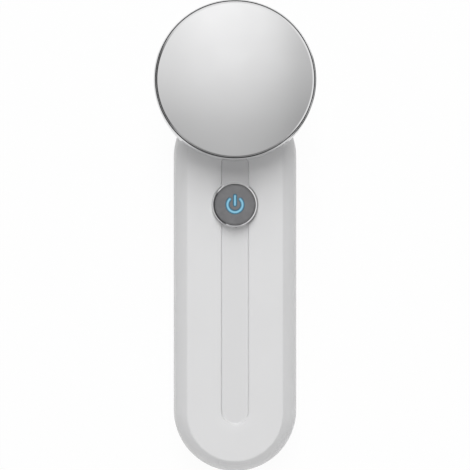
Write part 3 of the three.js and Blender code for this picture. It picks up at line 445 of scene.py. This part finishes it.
# Button
bezel = {"radius": 7.6, "wall": 0.4, "bore": 6.8, "foot": 23.8, "ledge": 25.7, "top": 27.3, "crest": 7.36,
         "crestWidth": 0.02, "slopeFoot": 6.97, "innerDrop": 0.27, "outerDrop": 0.2}
cap = {"radius": 6.5, "flange": 6.9, "inner": 5.9, "low": 24.6, "flangeTop": 25.4, "underside": 26.1,
       "top": 27.3, "edge": 0.15}
sign = {"outer": 2.93, "stroke": 0.8, "gapDegrees": 34.0, "barWidth": 0.76, "barLow": -0.4, "barHigh": 3.3,
        "window": 0.072, "openSlope": 1.15, "openShare": 0.8}
boot = {"foot": 5.8, "footTop": 24.2, "footRound": 0.12, "outer": 4.9, "inner": 4.55, "collar": 2.9,
        "collarRound": 0.1, "collarInset": 0.175, "bore": 1.8, "top": 24.8, "skin": 0.35}
guide = {"plate": 5.6, "plateLow": 25.04, "plateTop": 25.98, "stem": 1.4, "stemLow": 21.3, "stemTop": 25.9,
         "strokeLow": 25.6}


def buttonRing():
    # A ridge like the head rim's: one slope towards the cap, one outwards, and a fine crest between them.
    radius, bore, top = bezel["radius"], bezel["bore"], bezel["top"]
    outerWall = radius - bezel["wall"]
    profile = [
        (outerWall, bezel["foot"]), (radius, bezel["foot"]), (radius, top - bezel["outerDrop"]),
        (bezel["crest"] + bezel["crestWidth"], top), (bezel["crest"], top),
        (bezel["slopeFoot"], top - bezel["innerDrop"]), (bore, top - 2 * bezel["innerDrop"]),
        (bore, bezel["ledge"]), (outerWall, bezel["ledge"]),
    ]
    piece = gridObject(moved(turnedGrid(profile, 192), 0, buttonPlace["y"]), wrapRows=True)
    finishPiece(piece, "button_bezel_skin", "body", "chrome_trim", ["button_bezel"], 20)


def signStrokes(grow, low, high):
    # The sign's two strokes with round ends: a broken ring round the centre, and an upright bar.
    half = sign["stroke"] / 2
    middle = sign["outer"] - half
    tip = math.radians(sign["gapDegrees"]) + half / middle
    start, end = np.pi / 2 + tip, np.pi / 2 - tip + 2 * np.pi
    around = np.linspace(start, end, 60)
    turn = np.linspace(0, np.pi, 13)[1:-1]
    reach = half + grow
    startCentre, endCentre = arcPoints((0, 0), middle, np.array([start, end]))
    arc = np.concatenate([
        arcPoints((0, 0), middle + reach, around), arcPoints(endCentre, reach, end + turn),
        arcPoints((0, 0), middle - reach, around[::-1]), arcPoints(startCentre, reach, start + np.pi + turn),
    ])
    side = sign["barWidth"] / 2
    turn = np.linspace(0, np.pi, 15)
    bar = np.concatenate([arcPoints((0, sign["barHigh"] - side), side + grow, turn),
                          arcPoints((0, sign["barLow"] + side), side + grow, turn + np.pi)])
    strokes = []
    for outline in (arc, bar):
        rings = [np.column_stack([outline, np.full(len(outline), z)]) for z in (low, high)]
        strokes.append(gridObject(moved(np.array(rings), 0, buttonPlace["y"])))
    return strokes


def buttonCap():
    # A rounded disc with a flange below, and windows for the sign's strokes.
    edge = quarterCurve(cap["radius"] - cap["edge"], cap["top"] - cap["edge"], cap["edge"], cap["edge"], 5)
    profile = np.concatenate([
        [(0, cap["underside"]), (cap["inner"], cap["underside"]), (cap["inner"], cap["low"]),
         (cap["flange"], cap["low"]), (cap["flange"], cap["flangeTop"]), (cap["radius"], cap["flangeTop"])],
        edge, [(0, cap["top"])],
    ])
    piece = gridObject(moved(turnedGrid(profile, 160), 0, buttonPlace["y"]))
    windows = signStrokes(sign["window"], cap["underside"] - gap["over"], cap["top"] + gap["over"])
    combine(piece, windows, "DIFFERENCE")
    finishPiece(piece, "button_cap_skin", "button", "dark_mirror", ["button_cap"])


def buttonBoot():
    # The rubber return boot, which on the device flattens as the cap goes in: a flat foot, a cone and a collar
    # round the stem, here one fixed shape with a mesh of its own.
    low = channel["floor"]
    soft, collarSoft, under = boot["footRound"], boot["collarRound"], boot["top"] - boot["skin"]
    edge = quarterCurve(boot["foot"] - soft, boot["footTop"] - soft, soft, soft, 3)
    crown = quarterCurve(boot["collar"] - collarSoft, boot["top"] - collarSoft, collarSoft, collarSoft, 3)
    profile = np.concatenate([
        [(boot["inner"], low), (boot["foot"], low)], edge, [(boot["outer"], boot["footTop"])], crown,
        [(boot["bore"], boot["top"]), (boot["bore"], under), (boot["collar"] - boot["collarInset"], under)],
    ])
    piece = gridObject(moved(turnedGrid(profile, 96), 0, buttonPlace["y"]), wrapRows=True)
    finishPiece(piece, "button_boot_skin", "body", "clear_rubber", ["button_boot"])
    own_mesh(piece)


def lightGuide():
    # A round plate under the cap, a stem down to the lamps, and the two strokes that fill the cap's windows.
    body = discAt(guide["plate"], guide["plateLow"], guide["plateTop"], 0, buttonPlace["y"], 64)
    stem = discAt(guide["stem"], guide["stemLow"], guide["stemTop"], 0, buttonPlace["y"], 40)
    combine(body, [stem, *signStrokes(0, guide["strokeLow"], cap["top"])], "UNION")
    finishPiece(body, "light_guide_skin", "button", "lit_blue", ["light_guide"])


frontPiece = frontShell()
rearPiece = rearShell()
screwPlugs()
print("handle shells made:", len(frontPiece.data.polygons), "and", len(rearPiece.data.polygons), "faces")
contactPlate()
headRim()
insulatingRing()
cupPiece = headCup()
print("head made:", len(cupPiece.data.polygons), "faces in the cup")
buttonRing()
buttonCap()
buttonBoot()
lightGuide()
print("button made")


# Shader node groups, each built once
def newGroup(name, numbers, results):
    # A vector goes in, with the given numbers and their defaults, and numbers come out.
    group = bpy.data.node_groups.new(name, "ShaderNodeTree")
    group.interface.new_socket(name="Vector", in_out="INPUT", socket_type="NodeSocketVector")
    for label, value in numbers.items():
        socket = group.interface.new_socket(name=label, in_out="INPUT", socket_type="NodeSocketFloat")
        socket.default_value = value
    for label in results:
        group.interface.new_socket(name=label, in_out="OUTPUT", socket_type="NodeSocketFloat")
    return group, group.nodes.new("NodeGroupInput"), group.nodes.new("NodeGroupOutput")


def feed(tree, socket, value):
    # A node's output is linked to the socket; a number, or a colour without its alpha, is set on it.
    if isinstance(value, bpy.types.NodeSocket):
        tree.links.new(value, socket)
    else:
        socket.default_value = (*value, 1) if isinstance(value, tuple) else value


def mathNode(tree, operation, first, second=None, clamp=False):
    node = tree.nodes.new("ShaderNodeMath")
    node.operation = operation
    node.use_clamp = clamp
    feed(tree, node.inputs[0], first)
    if second is not None:
        feed(tree, node.inputs[1], second)
    return node.outputs[0]


def plus(tree, first, second):
    return mathNode(tree, "ADD", first, second)


def minus(tree, first, second):
    return mathNode(tree, "SUBTRACT", first, second)


def times(tree, first, second):
    return mathNode(tree, "MULTIPLY", first, second)


def splitVector(tree, vector):
    node = tree.nodes.new("ShaderNodeSeparateXYZ")
    tree.links.new(vector, node.inputs[0])
    return [node.outputs[axis] for axis in "XYZ"]


def noiseNode(tree, place, scale, detail=2.0, roughness=0.5):
    node = tree.nodes.new("ShaderNodeTexNoise")
    settings = {"Vector": place, "Scale": scale, "Detail": detail, "Roughness": roughness}
    for label, value in settings.items():
        feed(tree, node.inputs[label], value)
    return node.outputs["Fac"]


def mapRange(tree, value, fromLow, fromHigh, toLow=0.0, toHigh=1.0):
    # A smooth step between two limits.
    node = tree.nodes.new("ShaderNodeMapRange")
    node.interpolation_type = "SMOOTHSTEP"
    for socket, number in zip(node.inputs, (value, fromLow, fromHigh, toLow, toHigh)):
        feed(tree, socket, number)
    return node.outputs[0]


def makeHandlingGroup():
    # Soft smudges and fine hairline marks: roughness rises a little in both, and the hairlines give a height.
    numbers = {"Roughness": 0.2, "Smudge": 0.05, "Hairlines": 0.05}
    group, given, result = newGroup("handlingMarks", numbers, ["Roughness", "Height", "Patches"])
    place = given.outputs["Vector"]
    patches = mapRange(group, noiseNode(group, place, 45.0, 3.0, 0.6), 0.35, 0.75)
    stretch = group.nodes.new("ShaderNodeMapping")
    stretch.inputs["Rotation"].default_value = (0, 0, 0.5)
    stretch.inputs["Scale"].default_value = (1, 14, 1)
    group.links.new(place, stretch.inputs["Vector"])
    lines = mapRange(group, noiseNode(group, stretch.outputs[0], 260.0, 4.0, 0.7), 0.62, 0.74)
    rough = plus(group, given.outputs["Roughness"], times(group, patches, given.outputs["Smudge"]))
    rough = mathNode(group, "ADD", rough, times(group, lines, given.outputs["Hairlines"]), clamp=True)
    group.links.new(rough, result.inputs["Roughness"])
    group.links.new(lines, result.inputs["Height"])
    group.links.new(patches, result.inputs["Patches"])
    return group


def makeGrainGroup():
    # Moulded grain: fine even pits over a slower waviness, and a mask for slight colour change.
    group, given, result = newGroup("mouldedGrain", {"Scale": 900.0}, ["Height", "Tint"])
    place = given.outputs["Vector"]
    fine = noiseNode(group, place, given.outputs["Scale"])
    slow = noiseNode(group, place, times(group, given.outputs["Scale"], 0.04))
    height = plus(group, times(group, fine, 0.7), times(group, slow, 0.3))
    group.links.new(height, result.inputs["Height"])
    group.links.new(slow, result.inputs["Tint"])
    return group


def makeStripeGroup():
    # Even stripes across X with softened edges: windings, heater tracks, brushed lines.
    group, given, result = newGroup("fineStripes", {"Pitch": 0.001}, ["Mask", "Height"])
    x = splitVector(group, given.outputs["Vector"])[0]
    phase = mathNode(group, "DIVIDE", x, given.outputs["Pitch"])
    wave = mathNode(group, "ABSOLUTE", mathNode(group, "SINE", times(group, phase, math.pi)))
    group.links.new(mapRange(group, wave, 0.35, 0.6), result.inputs["Mask"])
    group.links.new(wave, result.inputs["Height"])
    return group


def makeSignGroup():
    # Distance from the middle line of the nearest lit stroke: the broken ring, or the upright bar.
    group, given, result = newGroup("signDistance", {}, ["Distance"])
    x, y, z = splitVector(group, given.outputs["Vector"])
    x = mathNode(group, "ABSOLUTE", x)
    y = minus(group, y, buttonPlace["y"] * metre)
    reach = mathNode(group, "SQRT", plus(group, times(group, x, x), times(group, y, y)))
    middle = (sign["outer"] - sign["stroke"] / 2) * metre
    toRing = mathNode(group, "ABSOLUTE", minus(group, reach, middle))
    opening = minus(group, y, times(group, x, sign["openSlope"]))  # above zero in the ring's gap
    toRing = plus(group, toRing, mathNode(group, "MAXIMUM", times(group, opening, sign["openShare"]), 0.0))
    barMiddle = (sign["barHigh"] + sign["barLow"]) / 2 * metre
    barHalf = (sign["barHigh"] - sign["barLow"] - sign["barWidth"]) / 2 * metre
    alongBar = mathNode(group, "ABSOLUTE", minus(group, y, barMiddle))
    alongBar = mathNode(group, "MAXIMUM", minus(group, alongBar, barHalf), 0.0)
    toBar = mathNode(group, "SQRT", plus(group, times(group, x, x), times(group, alongBar, alongBar)))
    group.links.new(mathNode(group, "MINIMUM", toRing, toBar), result.inputs["Distance"])
    return group


# The room's tones and the heights and headings where they change; each edge is a pair of cosines.
room = {"zenith": 0.98, "zenithSoft": 0.05, "above": 0.80, "overhead": 0.52, "overheadSoft": 0.07,
        "low": 0.19, "lowSoft": 0.05, "left": 0.82, "foot": 0.42, "footHeading": 270, "footEdge": (0.65, 0.9),
        "darkHeading": 35, "darkEdge": (0.22, 0.45), "lowHeading": 45, "lowEdge": (-0.35, -0.12),
        "lowShare": 0.85, "shade": 0.9, "leastFlat": 0.001}


def makeRoomGroup():
    # What polished metal sees round the device, by direction: bright on the left, quieter past the foot,
    # dark on the right and past the head, and pale overhead, with soft changes between them.
    group, given, result = newGroup("roomTone", {}, ["Tone"])
    x, y, z = splitVector(group, given.outputs["Vector"])
    flat = mathNode(group, "SQRT", minus(group, 1.0, times(group, z, z)))
    flat = mathNode(group, "MAXIMUM", flat, room["leastFlat"])

    def facing(degrees, edge):
        # One where the level direction lies near the given heading, from the cosine of the angle between them.
        turn = math.radians(degrees)
        along = plus(group, times(group, x, math.cos(turn)), times(group, y, math.sin(turn)))
        return mapRange(group, mathNode(group, "DIVIDE", along, flat), *edge)

    def under(height, soft):
        return mapRange(group, z, height - soft, height + soft, 1.0, 0.0)

    side = under(room["overhead"], room["overheadSoft"])
    low = under(room["low"], room["lowSoft"])
    foot = times(group, facing(room["footHeading"], room["footEdge"]), room["left"] - room["foot"])
    # A little under white overhead, so that a mirror still shows on white, and full white straight above.
    top = mapRange(group, z, room["zenith"] - room["zenithSoft"], room["zenith"], room["above"], 1.0)
    top = times(group, top, minus(group, 1.0, side))
    base = plus(group, top, times(group, side, minus(group, room["left"], foot)))
    high = times(group, minus(group, side, low), facing(room["darkHeading"], room["darkEdge"]))
    near = times(group, times(group, low, facing(room["lowHeading"], room["lowEdge"])), room["lowShare"])
    shade = times(group, mathNode(group, "MAXIMUM", high, near), room["shade"])
    group.links.new(times(group, base, minus(group, 1.0, shade)), result.inputs["Tone"])
    return group


handlingMarks = makeHandlingGroup()
mouldedGrain = makeGrainGroup()
fineStripes = makeStripeGroup()
signDistance = makeSignGroup()
roomTone = makeRoomGroup()


def startMaterial(name, values):
    # A Principled material with the plain numbers set on its own sockets, and its object coordinates.
    material = bpy.data.materials.new(name)
    material.use_nodes = True
    tree = material.node_tree
    shader = tree.nodes["Principled BSDF"]
    for label, value in values.items():
        shader.inputs[label].default_value = value
    place = tree.nodes.new("ShaderNodeTexCoord").outputs["Object"]
    return material, tree, shader, place


def useGroup(tree, group, place, values=None):
    node = tree.nodes.new("ShaderNodeGroup")
    node.node_tree = group
    tree.links.new(place, node.inputs["Vector"])
    for label, value in (values or {}).items():
        node.inputs[label].default_value = value
    return node


def addBump(tree, shader, height, strength, distance):
    bump = tree.nodes.new("ShaderNodeBump")
    bump.inputs["Strength"].default_value = strength
    bump.inputs["Distance"].default_value = distance
    tree.links.new(height, bump.inputs["Height"])
    tree.links.new(bump.outputs[0], shader.inputs["Normal"])


def mixColours(tree, factor, first, second):
    mix = tree.nodes.new("ShaderNodeMix")
    mix.data_type = "RGBA"
    tree.links.new(factor, mix.inputs["Factor"])
    feed(tree, mix.inputs[6], first)
    feed(tree, mix.inputs[7], second)
    return mix.outputs[2]


def addColour(tree, shader, factor, first, second, label="Base Color"):
    tree.links.new(mixColours(tree, factor, first, second), shader.inputs[label])


def grainMaterial(name, first, second, roughness, scale=900.0, strength=0.15, extra=None):
    # Moulded or rubbery surfaces: two close colours mixed by the grain, with its pits as bump.
    material, tree, shader, place = startMaterial(name, {"Roughness": roughness, **(extra or {})})
    grain = useGroup(tree, mouldedGrain, place, {"Scale": scale})
    addColour(tree, shader, grain.outputs["Tint"], first, second)
    addBump(tree, shader, grain.outputs["Height"], strength, 0.00005)
    return material


def polishedMaterial(name, first, second, marks, bump):
    # Polished metal: two close colours mixed by smudges, roughness with smudges and hairlines.
    material, tree, shader, place = startMaterial(name, {"Metallic": 1.0})
    wear = useGroup(tree, handlingMarks, place, marks)
    addColour(tree, shader, wear.outputs["Patches"], first, second)
    tree.links.new(wear.outputs["Roughness"], shader.inputs["Roughness"])
    addBump(tree, shader, wear.outputs["Height"], bump, 0.00002)
    return material


# Where the channel's floor lies, in metres, for its painted shade and its rougher satin finish, and how much
# rougher it is
channelShadeAndSatin = {"side": (0.0044, 0.0056), "under": (0.0240, 0.0249), "above": 0.0230, "rougher": 0.12}


def whiteGlossMaterial():
    # Glossy white moulding; the channel's floor is painted slightly darker, as shade in the recess, and has a
    # slightly rougher, more satin finish.
    material, tree, shader, place = startMaterial("whiteGloss", {"Coat Weight": 0.15, "Coat Roughness": 0.08})
    wear = useGroup(tree, handlingMarks, place, {"Roughness": 0.24, "Smudge": 0.03, "Hairlines": 0.01})
    x, y, z = splitVector(tree, place)
    side = mapRange(tree, mathNode(tree, "ABSOLUTE", x), *channelShadeAndSatin["side"], 1.0, 0.0)
    deep = mapRange(tree, z, *channelShadeAndSatin["under"], 1.0, 0.0)
    inChannel = times(tree, times(tree, side, deep), mathNode(tree, "GREATER_THAN", z, channelShadeAndSatin["above"]))
    plain = mixColours(tree, wear.outputs["Patches"], (0.80, 0.80, 0.805), (0.785, 0.785, 0.79))
    # Painted shade: the channel's floor gets a slightly darker colour than the plain white.
    addColour(tree, shader, inChannel, plain, (0.765, 0.765, 0.77))
    rough = plus(tree, wear.outputs["Roughness"], times(tree, inChannel, channelShadeAndSatin["rougher"]))
    tree.links.new(rough, shader.inputs["Roughness"])
    addBump(tree, shader, wear.outputs["Height"], 0.02, 0.000003)
    return material


# The glow round the sign's strokes and the bright core in them, as distances from each middle line in metres
shine = {"glow": (0.00045, 0.00090), "core": (0.00012, 0.00034)}


def darkMirrorMaterial():
    # Smoked mirror cap: a blue glow lies round the lit strokes, worked out from the distance to each stroke.
    material, tree, shader, place = startMaterial("darkMirror", {"Metallic": 1.0})
    wear = useGroup(tree, handlingMarks, place, {"Roughness": 0.10, "Smudge": 0.04, "Hairlines": 0.03})
    nearest = useGroup(tree, signDistance, place).outputs["Distance"]
    glow = mapRange(tree, nearest, *shine["glow"], 1.0, 0.0)
    plain = mixColours(tree, wear.outputs["Patches"], (0.18, 0.18, 0.185), (0.16, 0.16, 0.165))
    clouds = mapRange(tree, noiseNode(tree, place, 420.0, 2.0, 0.6), 0.35, 0.7)
    plain = mixColours(tree, clouds, plain, (0.20, 0.20, 0.205))
    addColour(tree, shader, glow, plain, (0.03, 0.125, 0.20))
    tree.links.new(wear.outputs["Roughness"], shader.inputs["Roughness"])
    addBump(tree, shader, wear.outputs["Height"], 0.02, 0.00002)
    return material


def litBlueMaterial():
    # Milky light guide lit from below: brightest along the middle of each stroke, darker at its edges.
    material, tree, shader, place = startMaterial("litBlue", {"Roughness": 0.3, "Emission Strength": 1.0})
    tint = useGroup(tree, mouldedGrain, place, {"Scale": 700.0}).outputs["Tint"]
    addColour(tree, shader, tint, (0.07, 0.14, 0.18), (0.05, 0.11, 0.15))
    nearest = useGroup(tree, signDistance, place).outputs["Distance"]
    core = mapRange(tree, nearest, *shine["core"], 1.0, 0.0)
    lit = mixColours(tree, tint, (0.24, 0.47, 0.59), (0.20, 0.43, 0.55))
    addColour(tree, shader, core, (0.045, 0.19, 0.29), lit, "Emission Color")
    return material


def lampMaterial():
    # A small lamp's lens: pale yellow, with a weak blue light of its own.
    material, tree, shader, place = startMaterial("lampLens", {"Roughness": 0.25, "Emission Strength": 1.0})
    grain = useGroup(tree, mouldedGrain, place, {"Scale": 1500.0})
    addColour(tree, shader, grain.outputs["Tint"], (0.85, 0.86, 0.75), (0.9, 0.9, 0.85))
    addColour(tree, shader, grain.outputs["Height"], (0.1, 0.3, 0.5), (0.2, 0.45, 0.7), "Emission Color")
    return material


def stripedMetal(name, first, second, roughness, pitch):
    # Drawn or wound metal: stripes give the tone change and a shallow height.
    material, tree, shader, place = startMaterial(name, {"Metallic": 1.0, "Roughness": roughness})
    stripes = useGroup(tree, fineStripes, place, {"Pitch": pitch})
    addColour(tree, shader, stripes.outputs["Mask"], first, second)
    addBump(tree, shader, stripes.outputs["Height"], 0.2, 0.00005)
    return material


def boardMaterial():
    # Circuit board: solder mask over raised tracks, from a brick pattern of thin lines.
    material, tree, shader, place = startMaterial("boardMask", {"Roughness": 0.4})
    tracks = tree.nodes.new("ShaderNodeTexBrick")
    tracks.inputs["Scale"].default_value = 300.0
    tracks.inputs["Mortar Size"].default_value = 0.035
    tree.links.new(place, tracks.inputs["Vector"])
    addColour(tree, shader, tracks.outputs["Fac"], (0.012, 0.12, 0.055), (0.05, 0.25, 0.12))
    addBump(tree, shader, tracks.outputs["Fac"], 0.3, 0.00004)
    return material


def filmMaterial():
    # Amber film with its heater tracks showing as darker coppery stripes.
    material, tree, shader, place = startMaterial("amberFilm", {"Roughness": 0.35})
    stripes = useGroup(tree, fineStripes, place, {"Pitch": 0.0018})
    addColour(tree, shader, stripes.outputs["Mask"], (0.30, 0.10, 0.02), (0.48, 0.20, 0.03))
    return material


finishes = {
    "white_gloss": whiteGlossMaterial(),
    "mirror_plate": polishedMaterial(
        "mirrorPlate", (0.90, 0.90, 0.905), (0.88, 0.88, 0.885),
        {"Roughness": 0.07, "Smudge": 0.03, "Hairlines": 0.02}, 0.01),
    "chrome_trim": polishedMaterial(
        "chromeTrim", (0.86, 0.86, 0.87), (0.82, 0.82, 0.83),
        {"Roughness": 0.06, "Smudge": 0.03, "Hairlines": 0.03}, 0.02),
    "dark_mirror": darkMirrorMaterial(),
    "lit_blue": litBlueMaterial(),
    "lamp": lampMaterial(),
    "black_rubber": grainMaterial("blackRubber", (0.010, 0.010, 0.011), (0.018, 0.018, 0.019), 0.7),
    "clear_rubber": grainMaterial("clearRubber", (0.56, 0.58, 0.59), (0.62, 0.64, 0.65), 0.5, 700.0),
    "white_plastic": grainMaterial("whitePlastic", (0.72, 0.72, 0.71), (0.69, 0.69, 0.68), 0.45),
    "black_plastic": grainMaterial("blackPlastic", (0.014, 0.014, 0.016), (0.022, 0.022, 0.024), 0.45),
    "steel": stripedMetal("drawnSteel", (0.42, 0.43, 0.44), (0.52, 0.53, 0.54), 0.28, 0.00025),
    "copper": stripedMetal("woundCopper", (0.42, 0.17, 0.06), (0.62, 0.28, 0.11), 0.35, 0.0004),
    "board": boardMaterial(),
    "amber_film": filmMaterial(),
    "cell_foil": grainMaterial("cellFoil", (0.38, 0.39, 0.41), (0.46, 0.47, 0.49), 0.4, 400.0, 0.3,
                               {"Metallic": 0.8}),
    "red_wire": grainMaterial("redWire", (0.38, 0.02, 0.012), (0.45, 0.03, 0.02), 0.45),
    "black_wire": grainMaterial("blackWire", (0.008, 0.008, 0.009), (0.014, 0.014, 0.015), 0.45),
    "blue_wire": grainMaterial("blueWire", (0.02, 0.07, 0.32), (0.03, 0.09, 0.38), 0.45),
    "yellow_wire": grainMaterial("yellowWire", (0.55, 0.37, 0.02), (0.62, 0.43, 0.04), 0.45),
}
for part in frame["record"]["subparts"]:
    mesh = frame["nodes"][part["node"]].data
    mesh.materials.clear()
    mesh.materials.append(finishes[part["material_slot"]])
for piece in bpy.context.scene.objects:
    if piece.type == "MESH" and piece.name not in frame["nodes"]:
        piece.data.materials.clear()
        piece.data.materials.append(finishes[piece["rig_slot"]])
print("finishes given:", len(finishes))


# Studio
studio = {"cameraY": 1.8, "cameraZ": 431.0, "lens": 92.0, "sensor": 36.0, "nearest": 0.01, "worldLevel": 0.29}
# Side is +1 past the head and -1 past the foot
keyLight = {"x": -30.0, "side": 1, "elevation": 50.0, "away": 4000.0,
            "wide": 1400.0, "high": 4400.0, "watts": 131.0}
fillLight = {"x": 0.0, "side": -1, "elevation": 15.0, "away": 4000.0,
             "wide": 3600.0, "high": 3600.0, "watts": 48.0}
ground = {"z": -0.1, "half": 3000.0, "glow": 0.95, "reflected": 0.5, "bounce": 0.8, "seen": 0.95}
# A card over the plate, for reflections only: grey levels across X and Y, which are multiplied
card = {
    "y": 340.0, "z": 890.0, "halfX": 260.0, "halfY": 220.0, "level": 1.05,
    "acrossX": [(-260, 0.80), (-83, 0.86), (-28, 1.0), (0, 1.0), (55, 0.83), (83, 0.62), (260, 0.50)],
    "acrossY": [(120, 0.40), (240, 0.495), (277, 0.60), (332, 0.81), (359, 0.87), (412, 0.975), (560, 0.98)],
}


def flatPanel(name, centre, halfX, halfY, material, turn=None):
    # A single quad, made in place.
    corners = np.array([(-halfX, -halfY, 0), (halfX, -halfY, 0), (halfX, halfY, 0), (-halfX, halfY, 0)], float)
    if turn is not None:
        corners = corners @ np.array(turn.to_3x3()).T
    mesh = bpy.data.meshes.new(name)
    mesh.from_pydata(((corners + np.array(centre)) * metre).tolist(), [], [(0, 1, 2, 3)])
    panel = bpy.data.objects.new(name, mesh)
    mesh.materials.append(material)
    bpy.context.scene.collection.objects.link(panel)
    return panel


def emptyMaterial(name):
    material = bpy.data.materials.new(name)
    material.use_nodes = True
    material.node_tree.nodes.clear()
    return material, material.node_tree


def rayKinds(tree):
    # One for camera rays, and one for rays that a mirror or a clear piece has turned.
    path = tree.nodes.new("ShaderNodeLightPath")
    turned = mathNode(tree, "MAXIMUM", path.outputs["Is Glossy Ray"], path.outputs["Is Transmission Ray"])
    return path.outputs["Is Camera Ray"], turned


def floorMaterial():
    # Pale where it is seen, and a quieter grey where its light comes back to the object.
    material, tree = emptyMaterial("studioFloor")
    direct, turned = rayKinds(tree)
    seen = mathNode(tree, "MAXIMUM", direct, times(tree, turned, ground["reflected"]))
    plain = tree.nodes.new("ShaderNodeBsdfDiffuse")
    tree.links.new(mixColours(tree, seen, (ground["bounce"],) * 3, (ground["seen"],) * 3), plain.inputs["Color"])
    white = tree.nodes.new("ShaderNodeEmission")
    mix = tree.nodes.new("ShaderNodeMixShader")
    tree.links.new(times(tree, seen, ground["glow"]), mix.inputs[0])
    tree.links.new(plain.outputs[0], mix.inputs[1])
    tree.links.new(white.outputs[0], mix.inputs[2])
    tree.links.new(mix.outputs[0], tree.nodes.new("ShaderNodeOutputMaterial").inputs[0])
    return material


def greyRamp(tree, value, stops):
    # Grey levels at the given places in millimetres, with smooth changes between them.
    low, high = stops[0][0], stops[-1][0]
    share = tree.nodes.new("ShaderNodeMapRange")
    for socket, given in zip(share.inputs, (value, low * metre, high * metre)):
        feed(tree, socket, given)
    ramp = tree.nodes.new("ShaderNodeValToRGB")
    ramp.color_ramp.interpolation = "CARDINAL"
    for number, (place, tone) in enumerate(stops):
        where = (place - low) / (high - low)
        stop = ramp.color_ramp.elements[number] if number < 2 else ramp.color_ramp.elements.new(where)
        stop.position = where
        stop.color = (tone, tone, tone, 1)
    tree.links.new(share.outputs[0], ramp.inputs[0])
    return ramp.outputs[0]


def cardMaterial():
    # The card's light: its level, times one ramp across X and one across Y.
    material, tree = emptyMaterial("plateCardLight")
    x, y, z = splitVector(tree, tree.nodes.new("ShaderNodeTexCoord").outputs["Object"])
    product = tree.nodes.new("ShaderNodeMix")
    product.data_type = "RGBA"
    product.blend_type = "MULTIPLY"
    product.inputs["Factor"].default_value = 1.0
    tree.links.new(greyRamp(tree, x, card["acrossX"]), product.inputs[6])
    tree.links.new(greyRamp(tree, y, card["acrossY"]), product.inputs[7])
    glow = tree.nodes.new("ShaderNodeEmission")
    glow.inputs["Strength"].default_value = card["level"]
    tree.links.new(product.outputs[2], glow.inputs["Color"])
    tree.links.new(glow.outputs[0], tree.nodes.new("ShaderNodeOutputMaterial").inputs[0])
    return material


flatPanel("floor", (0, 0, ground["z"]), ground["half"], ground["half"], floorMaterial())
faceDown = Matrix.Rotation(math.pi, 4, "X")
cardCentre = (0, card["y"], card["z"])
plateCard = flatPanel("plateCard", cardCentre, card["halfX"], card["halfY"], cardMaterial(), faceDown)
plateCard.visible_diffuse = plateCard.visible_camera = plateCard.visible_shadow = False


def softLight(name, light):
    # A large soft panel turned to the object, which polished pieces don't show.
    data = bpy.data.lights.new(name, "AREA")
    data.shape = "RECTANGLE"
    data.size, data.size_y, data.energy = light["wide"] * metre, light["high"] * metre, light["watts"]
    lamp = bpy.data.objects.new(name, data)
    rise, away = math.radians(light["elevation"]), light["away"] * metre
    lamp.location = (light["x"] * metre, light["side"] * away * math.cos(rise), away * math.sin(rise))
    lamp.rotation_euler = (-lamp.location).to_track_quat("-Z", "Y").to_euler()
    lamp.visible_glossy = False
    bpy.context.scene.collection.objects.link(lamp)


softLight("key", keyLight)
softLight("fill", fillLight)

world = bpy.data.worlds.new("studioWorld")
bpy.context.scene.world = world
world.use_nodes = True
tree = world.node_tree
backdrop = tree.nodes["Background"]
# White to the camera, the room's tone to mirrors, and a plain low level to everything else.
direct, turned = rayKinds(tree)
tone = useGroup(tree, roomTone, tree.nodes.new("ShaderNodeTexCoord").outputs["Generated"]).outputs["Tone"]
level = times(tree, turned, minus(tree, tone, studio["worldLevel"]))
level = plus(tree, level, times(tree, direct, 1 - studio["worldLevel"]))
level = plus(tree, level, studio["worldLevel"])
backdrop.inputs["Color"].default_value = (1, 1, 1, 1)
tree.links.new(level, backdrop.inputs["Strength"])

cameraData = bpy.data.cameras.new("camera")
cameraData.lens = studio["lens"]
cameraData.sensor_width = studio["sensor"]
cameraData.clip_start = studio["nearest"]
camera = bpy.data.objects.new("camera", cameraData)
camera.location = Vector((0, studio["cameraY"], studio["cameraZ"])) * metre
bpy.context.scene.collection.objects.link(camera)
bpy.context.scene.camera = camera
bpy.context.scene.view_settings.view_transform = "Standard"
print("studio set")
